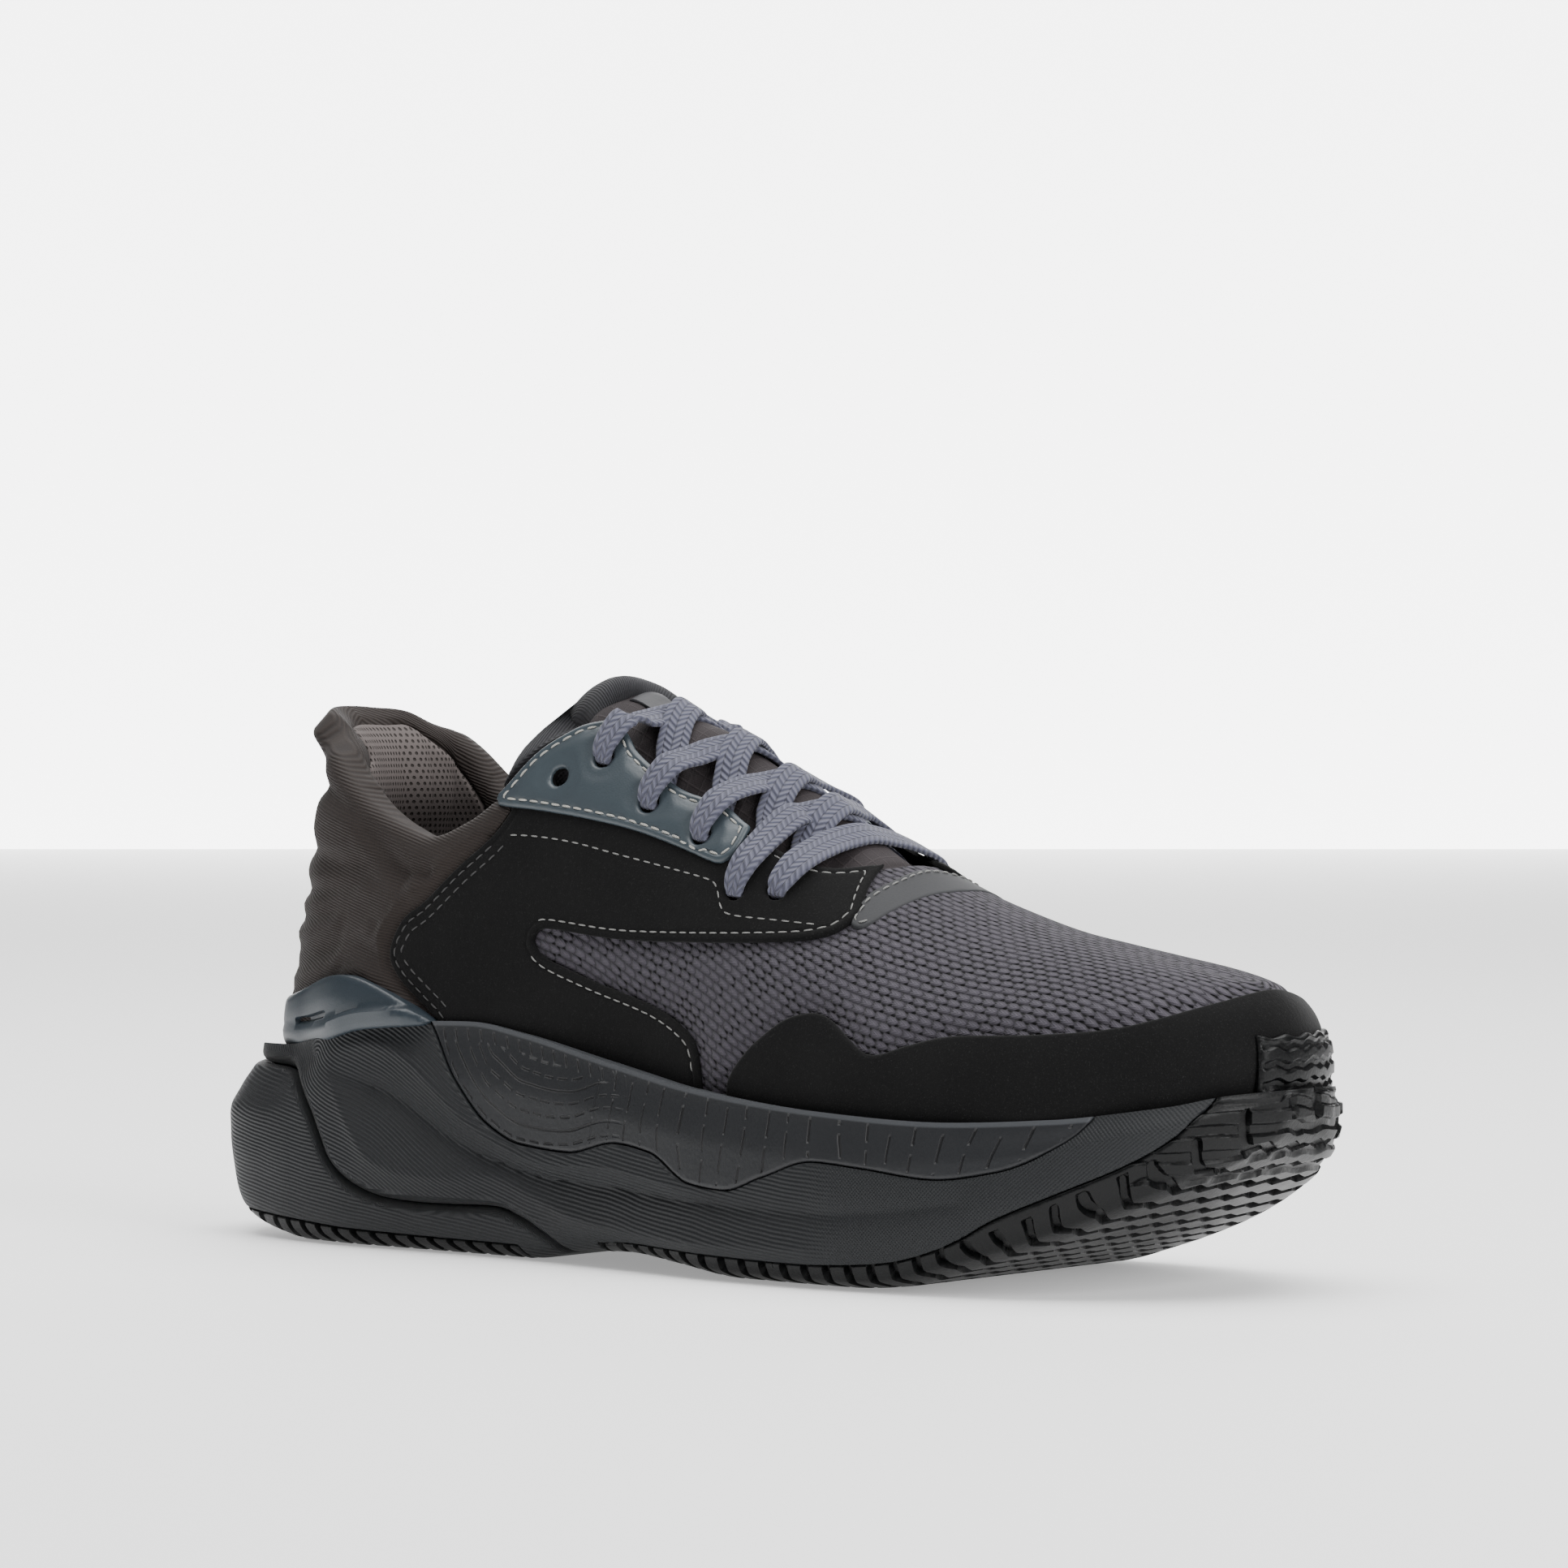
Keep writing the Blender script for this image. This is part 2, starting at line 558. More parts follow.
# ---- sole: textured sidewalls --------------------------------------------------------------------
# A thermoplastic film moulded onto each side of the midsole. Behind, dashed contour grooves follow
# its wavy lower edge; in front they turn into upright wandering lines. Its top edge is a thin lip.


def film_material():
    s = Shader("sidewall_film", 0.34)
    x, _, z = s.axes()
    edge = s.named("bank")
    top = s.named("top")
    wave = s.noise(28, 1.0) * 9
    wave2 = s.noise(55, 1.0) * 3

    def groove(value, pitch, width):
        """1 in the middle of each groove, one every pitch millimetres."""
        return 1 - (((value / pitch).frac() - 0.5).abs() * pitch).ramp(width * 0.35, width)

    contour = edge + wave * 0.6
    row = (contour / 3.1).floor()
    dashes = ((x + row * 2.3 + wave) / 4.6).frac()
    dash = dashes.ramp(0.12, 0.2) * (1 - dashes.ramp(0.74, 0.84))
    solid_row = (row * 0.37).frac().above(0.6)
    rear = groove(contour, 3.1, 0.42) * dash.max(solid_row)
    upright = x * 0.94 + wave * 1.1 + wave2
    cut = ((z * 0.9 + (upright / 6.2).floor() * 3.7 + wave2) / 7.5).frac()
    link = cut.ramp(0.08, 0.14) * (1 - cut.ramp(0.8, 0.88))
    fore = groove(upright, 6.2, 0.4) * link
    ticks = groove(x + z * 0.35 + wave * 0.4, 3.9, 0.42) * (1 - top.ramp(3.8, 5.2)) * top.ramp(1.6, 2.2)
    back = 1 - x.ramp(-14, 4)
    lines = (rear * top.ramp(4.6, 5.6)).max(ticks) * back + fore * (1 - back) * top.ramp(1.2, 2.2)
    lines = lines * edge.ramp(0.8, 1.6)
    cloud = s.noise(30, 3.0)
    base = s.colour(cloud, "303236", "3b3d41")
    base = s.colour(lines * 0.75, base, "191a1c")
    base = s.colour((1 - top.ramp(0.9, 1.5)) * 0.5, base, "8a8e94")
    height = s.noise(900, 2.0) * 0.12 - lines
    return s.finish(Base_Color=base, Roughness=cloud * 0.12 + 0.4, Normal=s.bump(height, 0.5),
                    Specular_IOR_Level=0.35)


film = film_material()
for side, sign in SIDES:
    wall = part_of(sole, side, sole["frame"] - 0.12, sole["p"][:, 1] * sign, levels=(0.12, 0.5, 1))
    top_edge = seam(wall["p"][:, 0]) - wall["p"][:, 2]
    sunk = 0.25 + rounding(wall["edge"], 0.8, 0.7)
    body_of_sheet(f"sidewall_frame_{side}", wall, sunk, 5.5, film, nodes=[f"sidewall_frame_{side}"],
                  slot="sidewall_film", bank=wall["frame"], top=np.maximum(top_edge, 0) * 1.1)

# ---- sole: rubber --------------------------------------------------------------------------------
# Two pieces of moulded rubber glued under the foam, cut across into zigzag lugs. The front one runs
# up over the toe as a bumper with wavy ribs.
LUG_PITCH = 6.2
LUG_DEPTH = 1.7


def rubber_material():
    s = Shader("outsole_rubber", 0.15)
    cloud = s.noise(70, 3.0)
    skin_grain = s.noise(1400, 2.0)
    worn = s.noise(240, 2.0)
    base = s.colour(cloud, "101214", "1d2023")
    height = skin_grain * 0.5 + worn * 0.5
    return s.finish(Base_Color=base, Roughness=cloud * 0.2 + 0.26 + skin_grain * 0.1, Normal=s.bump(height, 0.14),
                    Specular_IOR_Level=0.22)


rubber = rubber_material()


def grooves(sheet):
    """Below zero inside the zigzag cross cuts of the tread."""
    x, y, z = sheet["p"].T
    zigzag = 1.7 * (2 * np.abs(((y / 9.5) % 1) - 0.5) - 0.5)
    cross = np.abs(((x + zigzag) / LUG_PITCH) % 1 - 0.5) * LUG_PITCH - 0.75
    low = 5.2 - (z - ground(x)) + 1.2 * smooth(112, 125, x)
    return np.maximum(cross, -low * 0.6)


sole["cuts"] = grooves(sole)
X, Y, Z = sole["p"].T
ARC = np.where(Y < 6, 1, -1) * (SOLE_END - X) + 0.6 * Y
wavy = Z + 0.05 * (SOLE_END - X) * (Y < 6) + 0.35 * np.sin(ARC * 1.15) + 0.25 * np.sin(ARC * 0.43)
toe_ribs = np.abs(((wavy - 29.5) / 5.3) % 1 - 0.5) * 5.3 - 0.85
reach = smooth(118, 132, X - 1.4 * (34 - Z)) * smooth(20, 26, Z - 0.1 * (X - 120))
sole["ribs"] = np.where(reach > 0.02, toe_ribs + 1.6 * (1 - reach), 3.0)
for name, field, reach in (("heel", "heel_rubber", 50 - SX), ("forefoot", "fore_rubber", 50 - SX),
                           ("toe", "fore_rubber", SX - 50)):
    toe = name == "toe"
    bottom = part_of(sole, name, sole[field] - 0.1, reach, levels=(0.2, 0.8))
    bottom.split("cuts", 0.0, 0.45)
    if toe:
        bottom.split("ribs", 0.0, 0.7)
    depth = LUG_DEPTH * (1 - smooth(0, 0.45, bottom["cuts"]))
    if toe:
        depth = np.maximum(depth, 0.9 * (1 - smooth(0, 0.7, bottom["ribs"])))
    depth = depth + rounding(bottom[field] - 0.1, 0.8, 0.6) - 0.25
    body_of_sheet(f"outsole_{name}", bottom, depth, 3.4, rubber, nodes=[] if toe else [f"outsole_{name}"],
                  slot="outsole_rubber", sharp=32)

# ---- upper: the lasted form ----------------------------------------------------------------------
# Every layer of the upper takes its shape from the last. Ribs stand on the plan outline and lean in
# over the instep, and at the heel they are drawn in and flared.
footbed = curve([[-150, 34], [-60, 33.5], [0, 29], [60, 26], [100, 26.5], [150, 31]])
ridge = curve([[-140, 152], [-100, 152], [-60, 146], [-25, 138], [0, 124.5], [13, 118.5], [43, 99], [55, 92.5],
               [71, 86], [92, 79.5], [115, 75.5], [133, 73], [150, 70]])
plan_x = [-140, -138, -131, -118, -100, -70, -35, 0, 30, 60, 90, 115, 133, 144, 150]
plan_lateral = [0, -10, -20, -28, -33, -36, -36.5, -39, -44.5, -47, -45.5, -40, -27.5, -13.5, 6]
plan_medial = [0, 10, 20, 28, 33, 34, 33, 36, 44, 49.5, 50, 47, 38, 25, 6]
heel_inset = curve([[40, 0.5], [55, 0], [66, 1], [77, 3], [91, 8], [103, 15], [110, 18.5], [115, 18], [120, 14],
                    [128, 4], [138, -8]])
wall_inset = curve([[40, 0], [55, 0], [66, 0.5], [80, 2], [91, 4], [103, 6.5], [112, 8], [118, 8.8], [128, 9],
                    [138, 8]])
heel_share = curve([[-140, 1], [-137, 0.96], [-131, 0.7], [-118, 0.15], [-105, 0]])


def plan_loop(s):
    """The closed plan outline: lateral side from heel to toe for s from 0 to 14, then back."""
    p = np.array(list(zip(plan_x, plan_lateral)) + list(zip(plan_x, plan_medial))[-2:0:-1], float)
    i = np.floor(s).astype(int)
    u = (s - i)[:, None]
    return between(*(p[(i + k) % len(p)] for k in (-1, 0, 1, 2)), u)


def rib_points(foot, levels, under):
    """Ribs from below the footbed to the ridge, one per point of the plan."""
    x, y = foot.T
    back = -60 + (x + 60) * 0.09
    top_x = np.where(x < -60, back, np.where(x > 100, 100 + (x - 100) * 0.72, x))
    top_y = 6 * smooth(60, 150, x)
    span = np.maximum(np.hypot(top_x - x, top_y - y), 1e-6)[:, None]
    z0 = seam(x)[:, None]
    power = (1 - 0.2 * smooth(50, 140, x))[:, None]
    angle = levels[None] * math.pi / 2
    z = z0 + (ridge(x)[:, None] - z0) * np.sin(angle) ** power
    arch = 1 - np.clip(np.cos(angle), 0, 1) ** power
    share = heel_share(x)[:, None]
    straight = (heel_inset(z) * share + wall_inset(z) * (1 - share)) / span
    wall = (1 - smooth(-100, -60, x))[:, None]
    lean = arch + (straight - arch) * wall
    low = footbed(x)[:, None] - 6
    z_under = low + (z0 - low) * under[None]
    lean_under = np.interp(under, [0, 0.45, 1], [4, 1.2, 0])[None] / span
    z = np.concatenate([z_under, z], 1)
    lean = np.concatenate([lean_under, lean], 1)
    return np.stack([x[:, None] + (top_x - x)[:, None] * lean, y[:, None] + (top_y - y)[:, None] * lean, z], 2)


def skin_sheet(pitch):
    s = np.linspace(0, 14, 4001)
    one, two = plan_loop(s), plan_loop(28 - s - 1e-9)
    length = np.maximum(np.linalg.norm(np.diff(one, axis=0), axis=1), np.linalg.norm(np.diff(two, axis=0), axis=1))
    total = running(length)
    s = np.interp(np.linspace(0, total[-1], int(total[-1] / pitch)), total, s)
    levels = np.linspace(0, 1, int(108 / pitch))
    under = np.linspace(0, 1, 9)[:-1]
    lateral = rib_points(plan_loop(s), levels, under)
    medial = rib_points(plan_loop((28 - s[1:-1]) % 28), levels, under)[::-1]
    grid = np.concatenate([lateral, medial])
    ring, rows = grid.shape[:2]
    ids = np.arange(ring * rows).reshape(ring, rows)
    sides = len(lateral)
    ids[sides:, -1] = ids[1:sides - 1, -1][::-1]
    a, b, c, d = ids[:, :-1], np.roll(ids, -1, 0)[:, :-1], np.roll(ids, -1, 0)[:, 1:], ids[:, 1:]
    tris = quads(a, b, c, d)
    step = np.linalg.norm(np.diff(grid, axis=1), axis=2)
    down = np.concatenate([np.cumsum(step[:, ::-1], axis=1)[:, ::-1], np.zeros((ring, 1))], 1)
    run = running(np.linalg.norm(np.diff(lateral[:, 8, :2], axis=0), axis=1))
    arc = np.concatenate([run, run[1:-1][::-1]])[:, None].repeat(rows, 1)
    sheet = Sheet(tris, p=grid.reshape(-1, 3), uv=np.stack([grid[:, :, 0], down], 2).reshape(-1, 2), arc=arc.ravel())
    sheet.only(np.ones(len(tris), bool))
    x, _, z = sheet["p"].T
    sheet["p"] = sheet["p"] + outward(sheet["p"]) * (smooth(116, 143, x) * toe_push(z))[:, None]
    sheet["n"] = sheet.normals()
    return sheet


toe_push = curve([[38, 1], [50, 3.2], [60, 4], [67, 3], [74, 0]])
skin = skin_sheet(MESH_PITCH)
PX, PY, PZ = skin["p"].T


def mirrored(points):
    return points + [[x, -y] for x, y in points[::-1] if y]


rim = curve([[-150, 125.2], [-137, 125], [-131, 124.6], [-124, 123.6], [-117, 120.4], [-110, 118.3], [-103, 113.5],
             [-92, 106], [-83, 102], [-71, 99], [-60, 102.6], [-51.6, 108.4], [-42, 119], [-36, 123],
             [-30.8, 125.4], [-25, 126.3], [-10, 127]])
throat = np.array(mirrored(spline([[-60, 18], [-25, 18.5], [-15, 21], [-6, 22], [1, 22.5], [13, 22.5], [20, 23.5],
                                   [30, 24], [38, 22.5], [44, 19], [48, 13], [50.5, 6], [51, 0]]).tolist()))
medial_rise = curve([[-137, 0], [-130, 0], [-118, 3], [-105, 4.6], [-96, 2.4], [-85, 0.6], [-71, 0]])


def rim_at(x, y):
    """The collar's edge stands higher on the medial side."""
    return rim(x) + medial_rise(x) * smooth(4, 14, y)


split_line = [[-38, -10], [-38, 92], [-54, 108], [-54, 160]]


def mark_openings(sheet, above):
    """How far corners are from the collar's edge, the throat's edge, the footbed and the heel lining."""
    x, y, z = sheet["p"].T
    sheet["rim"] = np.where(x < -26, sheet.evened(rim_at(x, y) - z), 40)
    sheet["throat"] = np.where(x < -58, 40, sheet.evened(-within(throat, x, y)))
    sheet["base"] = z - footbed(x) - above
    sheet["open"] = np.minimum(np.minimum(sheet["rim"], sheet["throat"]), sheet["base"])
    sheet["front"] = sheet.evened(-line_distance(split_line, x, z))


mark_openings(skin, 1)

# ---- board and insole ----------------------------------------------------------------------------
# A fibre board closes the upper underneath, and the loose foam insole lies on it under a knitted
# cloth. Its edges curl up a little where they meet the lining.


def cloth_material(name, dark, light, pitch, height):
    """A fine even knit: columns of small loops, with a slight unevenness of colour."""
    s = Shader(name)
    x, y, z = s.axes()
    around = s.noise(30, 2.0)
    loops = (x + y * 0.4).wave(pitch) * (z + y * 0.6).wave(pitch * 1.3) * 0.5 + 0.5
    base = s.colour(loops * 0.6 + around * 0.4, dark, light)
    return s.finish(Base_Color=base, Roughness=around * 0.1 + 0.85,
                    Normal=s.bump(loops * 0.8 + s.noise(1200) * 0.2, height), Specular_IOR_Level=0.2)


def board_material():
    s = Shader("strobel_board")
    fibre = s.noise(800, 4.0)
    return s.finish(Base_Color=s.colour(fibre, "77716a", "a19a8d"), Roughness=fibre * 0.1 + 0.85,
                    Normal=s.bump(fibre, 0.2))


def floor_sheet(inset):
    """The inside of the plan outline as a flat sheet, drawn in by inset."""
    s = np.linspace(0, 14, 161)[1:-1]
    one, two = plan_loop(s), plan_loop(28 - s)
    middle = (one + two) / 2
    across = np.linspace(-1, 1, 41)
    half = (two - one) / 2
    length = np.linalg.norm(half, axis=1)
    half = half * np.maximum(1 - inset / length, 0.05)[:, None]
    keep = (one[:, 0] > -140 + inset) & (one[:, 0] < 150 - inset)
    middle, half = middle[keep], half[keep]
    grid = middle[:, None] + half[:, None] * across[None, :, None]
    n, m = grid.shape[:2]
    p = np.concatenate([grid.reshape(-1, 2), footbed(grid[:, :, 0]).reshape(-1, 1)], 1)
    rise = np.abs(np.broadcast_to(across, (n, m))).ravel().copy()
    sheet = Sheet(grid_faces(n, m), p=p, uv=p[:, :2].copy(), rise=rise)
    sheet["n"] = sheet.normals()
    return sheet


board = floor_sheet(5.2)
body_of_sheet("strobel_board", board, -1.5, 0.05, board_material(), nodes=["strobel_board"], slot="board")
insole_sheet = floor_sheet(7.4)
insole = body_of_sheet("insole", insole_sheet, -6.3 + 0.6 * smooth(0.93, 1, insole_sheet["rise"]), -1.85,
                       cloth_material("insole_fabric", "26262a", "3f3f45", 1.1, 0.25), body="sock_liner",
                       nodes=["insole"], slot="insole_fabric")

# ---- upper: knitted vamp and linings -------------------------------------------------------------
# Engineered knit runs from the toe to the midfoot, with open eyelets between its chevron stitches
# that close up towards the toe. It is glued to a thin lining, and shows between the overlays.


def knit_material():
    s = Shader("knit", 0.74)
    u, v = s.flat()
    drift = s.noise(45, 1.0) * 1.6
    u, v = u + drift, v + drift * 0.5
    row_height, column = 2.1, 3.3
    row = (v / row_height).floor()
    fv = (v / row_height).frac() - 0.5
    shift = (row * 0.5).frac() * column
    fu = ((u + shift + fv.abs() * 0.9) / column).frac() - 0.5
    cell = ((u + shift) / column).floor()
    chance = ((row * 12.9898 + cell * 78.233).sin() * 43758.5).frac()
    loop = (1 - (fv * 2).power(2)) * (1 - (fu * 1.9).abs().power(3)).max(0)
    strand = ((u * 2.2 + fv.abs() * 9) * 2.4).sin() * 0.5 + 0.5
    x = s.axes()[0]
    share = 0.55 - x.ramp(20, 110) * 0.2
    hu, hv = (fu + 0.5).min(0.5 - fu) * column, (fv + 0.5).min(0.5 - fv) * row_height
    far = (hu * hu + hv * hv * 1.3).power(0.5)
    hole = (1 - far.ramp(0.42, 0.85)) * chance.above(share)
    cloud = s.noise(25, 3.0)
    base = s.colour(cloud, "4d4a51", "5d5961")
    base = s.colour(strand * 0.3, base, "716d77")
    base = s.colour((1 - loop) * 0.8, base, "2a282d")
    base = s.colour(hole, base, "0b0b0d")
    height = loop * 0.75 + strand * 0.12 - hole * 0.8 + s.noise(2600) * 0.1
    return s.finish(Base_Color=base, Roughness=strand * 0.1 + 0.85, Normal=s.bump(height, 0.8),
                    Specular_IOR_Level=0.1, Sheen_Weight=0.06)


def outline_part(points):
    return np.vstack([np.array(p, float).reshape(-1, 2) for p in points])


heel_seam = spline([[-47, 105.3], [-51.7, 99.1], [-61.2, 91.6], [-71.1, 83.3], [-77.7, 79.3], [-81.6, 73.3],
                    [-81.6, 68.5], [-77.2, 63.7], [-70.7, 59.1], [-64.2, 54.1], [-60, 46]])
window = spline([[21.7, 38], [21.7, 44], [19.6, 52.2], [14.3, 56.6], [3.7, 60.9], [-15.3, 65.8], [-29.5, 70.1],
                 [-34.2, 72.7], [-35.6, 75], [-34.2, 77.2], [-30, 77.7], [-8.8, 75.9], [17.4, 76.1], [41.4, 77.1],
                 [50, 78.4], [53.6, 80.3], [54.9, 83.5], [53.1, 87.5], [47.5, 98]])
quarter = outline_part([[-50, 125], [-50, 107.5], heel_seam, [-60, 0], [21.7, 0], window, [30, 125], [-20, 140],
                        [-50, 140]])
guard = outline_part([[31, 0], spline([[31, 36], [31, 44.5], [35.7, 51], [41.6, 56], [48, 60], [55, 61.4], [60, 60],
                                      [66, 56], [70.5, 53.2], [75, 52.8], [82, 55], [92.5, 57.4], [111, 58.2],
                                      [124.5, 59.3], [134, 61.4], [143, 65.3], [147, 68.3], [150, 69.5]]),
                     [170, 70], [170, 0]])
heel_part = outline_part([[-50.3, 140], [-50.3, 107.5], heel_seam + [-0.3, 0], [-60.3, 0], [-200, 0], [-200, 140]])
skin["quarter"] = skin.evened(within(quarter, PX, PZ))
skin["guard"] = skin.evened(within(guard, PX, PZ))
skin["heel"] = skin.evened(within(heel_part, PX, PZ))

EYELET = 4.8
eyelets = [[-34, 26.6], [-22.8, 23.6], [-7, 26], [10.2, 27.7], [24.1, 33], [34.5, 30.5]]
half_lateral = curve([[x, -y] for x, y in zip(plan_x, plan_lateral)])
half_medial = curve(list(zip(plan_x, plan_medial)))


def over_skin(x, y, depth=0.0):
    """Points under the skin of the throat and vamp, where it is an elliptic arch, and its normals."""
    x, y = np.broadcast_arrays(np.asarray(x, float), np.asarray(y, float))

    def at(px, py):
        width = np.where(py < 0, half_lateral(px), half_medial(px))
        share = np.minimum(0.98, np.abs(py) / width)
        return np.stack([px, py, seam(px) + (ridge(px) - seam(px)) * np.sqrt(1 - share**2)], -1)

    n = np.cross(at(x + 0.5, y) - at(x - 0.5, y), at(x, y + 0.5) - at(x, y - 0.5))
    n /= np.linalg.norm(n, axis=-1)[..., None]
    return at(x, y) - n * np.asarray(depth)[..., None], n


skin["holes"] = np.full(len(PX), 50.0)
for x, y in eyelets:
    for side in (-1, 1):
        centre, _ = over_skin(x, y * side)
        offset = skin["p"] - centre
        away = np.sqrt(offset[:, 0] ** 2 + (offset[:, 1:] ** 2).sum(1) * 1.1)
        skin["holes"] = np.minimum(skin["holes"], away - EYELET / 2)

covered = np.maximum(skin["quarter"], skin["guard"])
knit = part_of(skin, "knit", skin["open"], skin["front"], 5 - covered, skin["holes"], levels=(0.3, 0.9))
bare = -np.maximum(knit["quarter"], knit["guard"])
knit_depth = 1.45 - 0.85 * smooth(0.4, 6, bare) + rounding(knit["edge"], 0.9, 0.7)
body_of_sheet("knit_vamp", knit, knit_depth, 3.1, knit_material(), nodes=["knit_vamp"], slot="knit")

inner = skin_sheet(2.2)
IX = inner["p"][:, 0]
mark_openings(inner, 1.5)
lining_cloth = cloth_material("lining", "232225", "363438", 1.3, 0.2)
lining = part_of(inner, "lining", inner["open"] - 0.3, inner["front"] - 0.2, 107.6 - IX, levels=(0.6,))
body_of_sheet("vamp_lining", lining, 3.5, 4.4, lining_cloth, nodes=["vamp_lining"], slot="lining")
puff_shader = Shader("stiffener")
fibres = puff_shader.noise(600, 4.0)
stiff = puff_shader.finish(Base_Color=puff_shader.colour(fibres, "6a655c", "8a8478"),
                           Roughness=fibres * 0.1 + 0.8)
puff = part_of(inner, "puff", inner["open"], IX - 108, levels=(0.6,))
body_of_sheet("toe_puff", puff, 3.5, 4.4, stiff, nodes=["toe_puff"], slot="stiffener")

# ---- upper: suede overlays -----------------------------------------------------------------------
# Microsuede cut to shape: one quarter on each side with a window for the knit, and a toe guard. The
# quarters are sewn on with grey thread, two rows at the heel; the guard is fused.


def suede_material():
    s = Shader("suede", 0.58)
    nap = s.noise(900, 3.0)
    brushed = s.noise(60, 3.0)
    speck = s.noise(3200, 1.0)
    base = s.colour(brushed * 0.6 + nap * 0.4, "0d0d0e", "212121")
    base = s.colour(speck.ramp(0.6, 0.75) * 0.5, base, "3a3a3a")
    return s.finish(Base_Color=base, Roughness=nap * 0.1 + 0.88, Normal=s.bump(nap * 0.6 + speck * 0.4, 0.16),
                    Specular_IOR_Level=0.1, Sheen_Weight=0.08, Sheen_Roughness=0.4)


def thread_material(name, dark, light):
    s = Shader(name, 0.75)
    x, y, z = s.axes()
    ply = ((x * 1.3 + z * 1.7 + y) * 9).sin() * 0.5 + 0.5
    return s.finish(Base_Color=s.colour(ply, dark, light), Roughness=ply * 0.1 + 0.6,
                    Normal=s.bump(ply, 0.08))


def contour(sheet, name, level):
    """Lines along which the named value is at the level, as point and normal arrays."""
    f = sheet[name] - level
    f = np.where(f == 0, 1e-6, f)
    t = sheet.tris
    ends = {}
    for k in range(3):
        a, b = t[:, k], t[:, (k + 1) % 3]
        rows = np.nonzero(f[a] * f[b] < 0)[0]
        for r in rows:
            ends.setdefault(r, []).append((min(a[r], b[r]), max(a[r], b[r])))
    links = {}
    for pair in ends.values():
        if len(pair) == 2:
            links.setdefault(pair[0], []).append(pair[1])
            links.setdefault(pair[1], []).append(pair[0])
    lines = []
    starts = [k for k, v in links.items() if len(v) == 1] + list(links)
    seen = set()
    for start in starts:
        if start in seen:
            continue
        line, here = [start], start
        seen.add(start)
        while True:
            onward = [k for k in links[here] if k not in seen]
            if not onward:
                break
            here = onward[0]
            seen.add(here)
            line.append(here)
        if start in links[here] and len(line) > 3:
            line.append(start)
        if len(line) > 4:
            e = np.array(line)
            w = (f[e[:, 0]] / (f[e[:, 0]] - f[e[:, 1]]))[:, None]
            lines.append([sheet[c][e[:, 0]] * (1 - w) + sheet[c][e[:, 1]] * w for c in ("p", "n")])
    return lines


def sewn(name, lines, depth, material, length=2.3, gap=0.9, size=0.36, keep=None):
    """Stitches laid along lines over a sheet: short threads that dip in at both ends."""
    points, faces = [], []
    count = 0
    around = np.arange(6) * (2 * math.pi / 6)
    profile = [(-0.5, -0.35, 0.3), (-0.4, 0.1, 0.8), (-0.15, 0.3, 1), (0.15, 0.3, 1), (0.4, 0.1, 0.8),
               (0.5, -0.35, 0.3)]
    for p, n in lines:
        p = p - n * depth
        run = running(np.linalg.norm(np.diff(p, axis=0), axis=1))
        pitch = length + gap
        for k in range(int(run[-1] / pitch)):
            middle = (k + 0.5) * pitch
            ring = []
            for share, lift, width in profile:
                at = middle + share * length
                centre, up = place(at, run, p), place(at, run, n)
                if share == -0.5:
                    if keep is not None and not keep(centre):
                        break
                    ahead = place(middle + 0.5 * length, run, p) - centre
                    across = np.cross(up, ahead)
                    across /= np.linalg.norm(across) + 1e-9
                ring.append(centre + up * lift * size * 1.6 + (np.cos(around)[:, None] * across
                            + np.sin(around)[:, None] * up) * size * width)
            if len(ring) < len(profile):
                continue
            points.append(np.concatenate(ring))
            for r in range(len(profile) - 1):
                for q in range(6):
                    a, b = count + r * 6 + q, count + r * 6 + (q + 1) % 6
                    faces += [(a, b, b + 6), (a, b + 6, a + 6)]
            last = count + (len(profile) - 1) * 6
            for q in range(1, 5):
                faces += [(count, count + q + 1, count + q), (last, last + q, last + q + 1)]
            count += 6 * len(profile)
    obj = mesh_object(name, np.concatenate(points), np.array(faces)[:, ::-1], material, sharp=80)
    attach(obj, "shoe")
    return obj


suede = suede_material()
grey_thread = thread_material("grey_thread", "6e6e6c", "a5a5a2")
dark_thread = thread_material("dark_thread", "2b2b2c", "515150")
guard_piece = part_of(skin, "guard", skin["guard"], skin["base"])
body_of_sheet("toe_guard", guard_piece, rounding(guard_piece["edge"], 0.9, 0.8), 1.2, suede,
              nodes=["toe_guard"], slot="suede")
# The top of the toe bumper lies over the guard, a little to the medial side.
skin["bumper"] = np.where(PX > 128, np.minimum(np.minimum(57.5 + 0.4 * np.sin(PY * 0.8) - PZ, PZ - seam(PX) + 3),
                                               np.minimum(PY + 6, 31 - PY)), -9)
BUMPER_PITCH = 4.2
level = PZ + 0.35 * np.sin(PY * 1.1) + 0.25 * np.sin(PY * 0.43)
skin["bumper_ribs"] = np.abs(((level - 45) / BUMPER_PITCH) % 1 - 0.5) * BUMPER_PITCH - 0.5
bumper = part_of(skin, "bumper", skin["bumper"], levels=(0.3, 0.8, 1.6, 2.6))
bumper.split("bumper_ribs", 0.0, 0.7)
bumper_depth = -1.6 - 0.6 * smooth(58, 48, bumper["p"][:, 2]) + rounding(bumper["edge"], 2.2, 1.3)
bumper_depth += 0.8 * (1 - smooth(0, 0.7, bumper["bumper_ribs"])) * smooth(0.3, 1.6, bumper["edge"])
body_of_sheet("toe_bumper", bumper, bumper_depth, -0.03, rubber, slot="outsole_rubber", sharp=32)


def in_sight(p):
    """Above the sole, and not under the eyestay."""
    return p[2] > seam(p[0]) + 2 and not (p[0] < 18 and p[2] > 97 + 0.2 * (p[0] < -20))


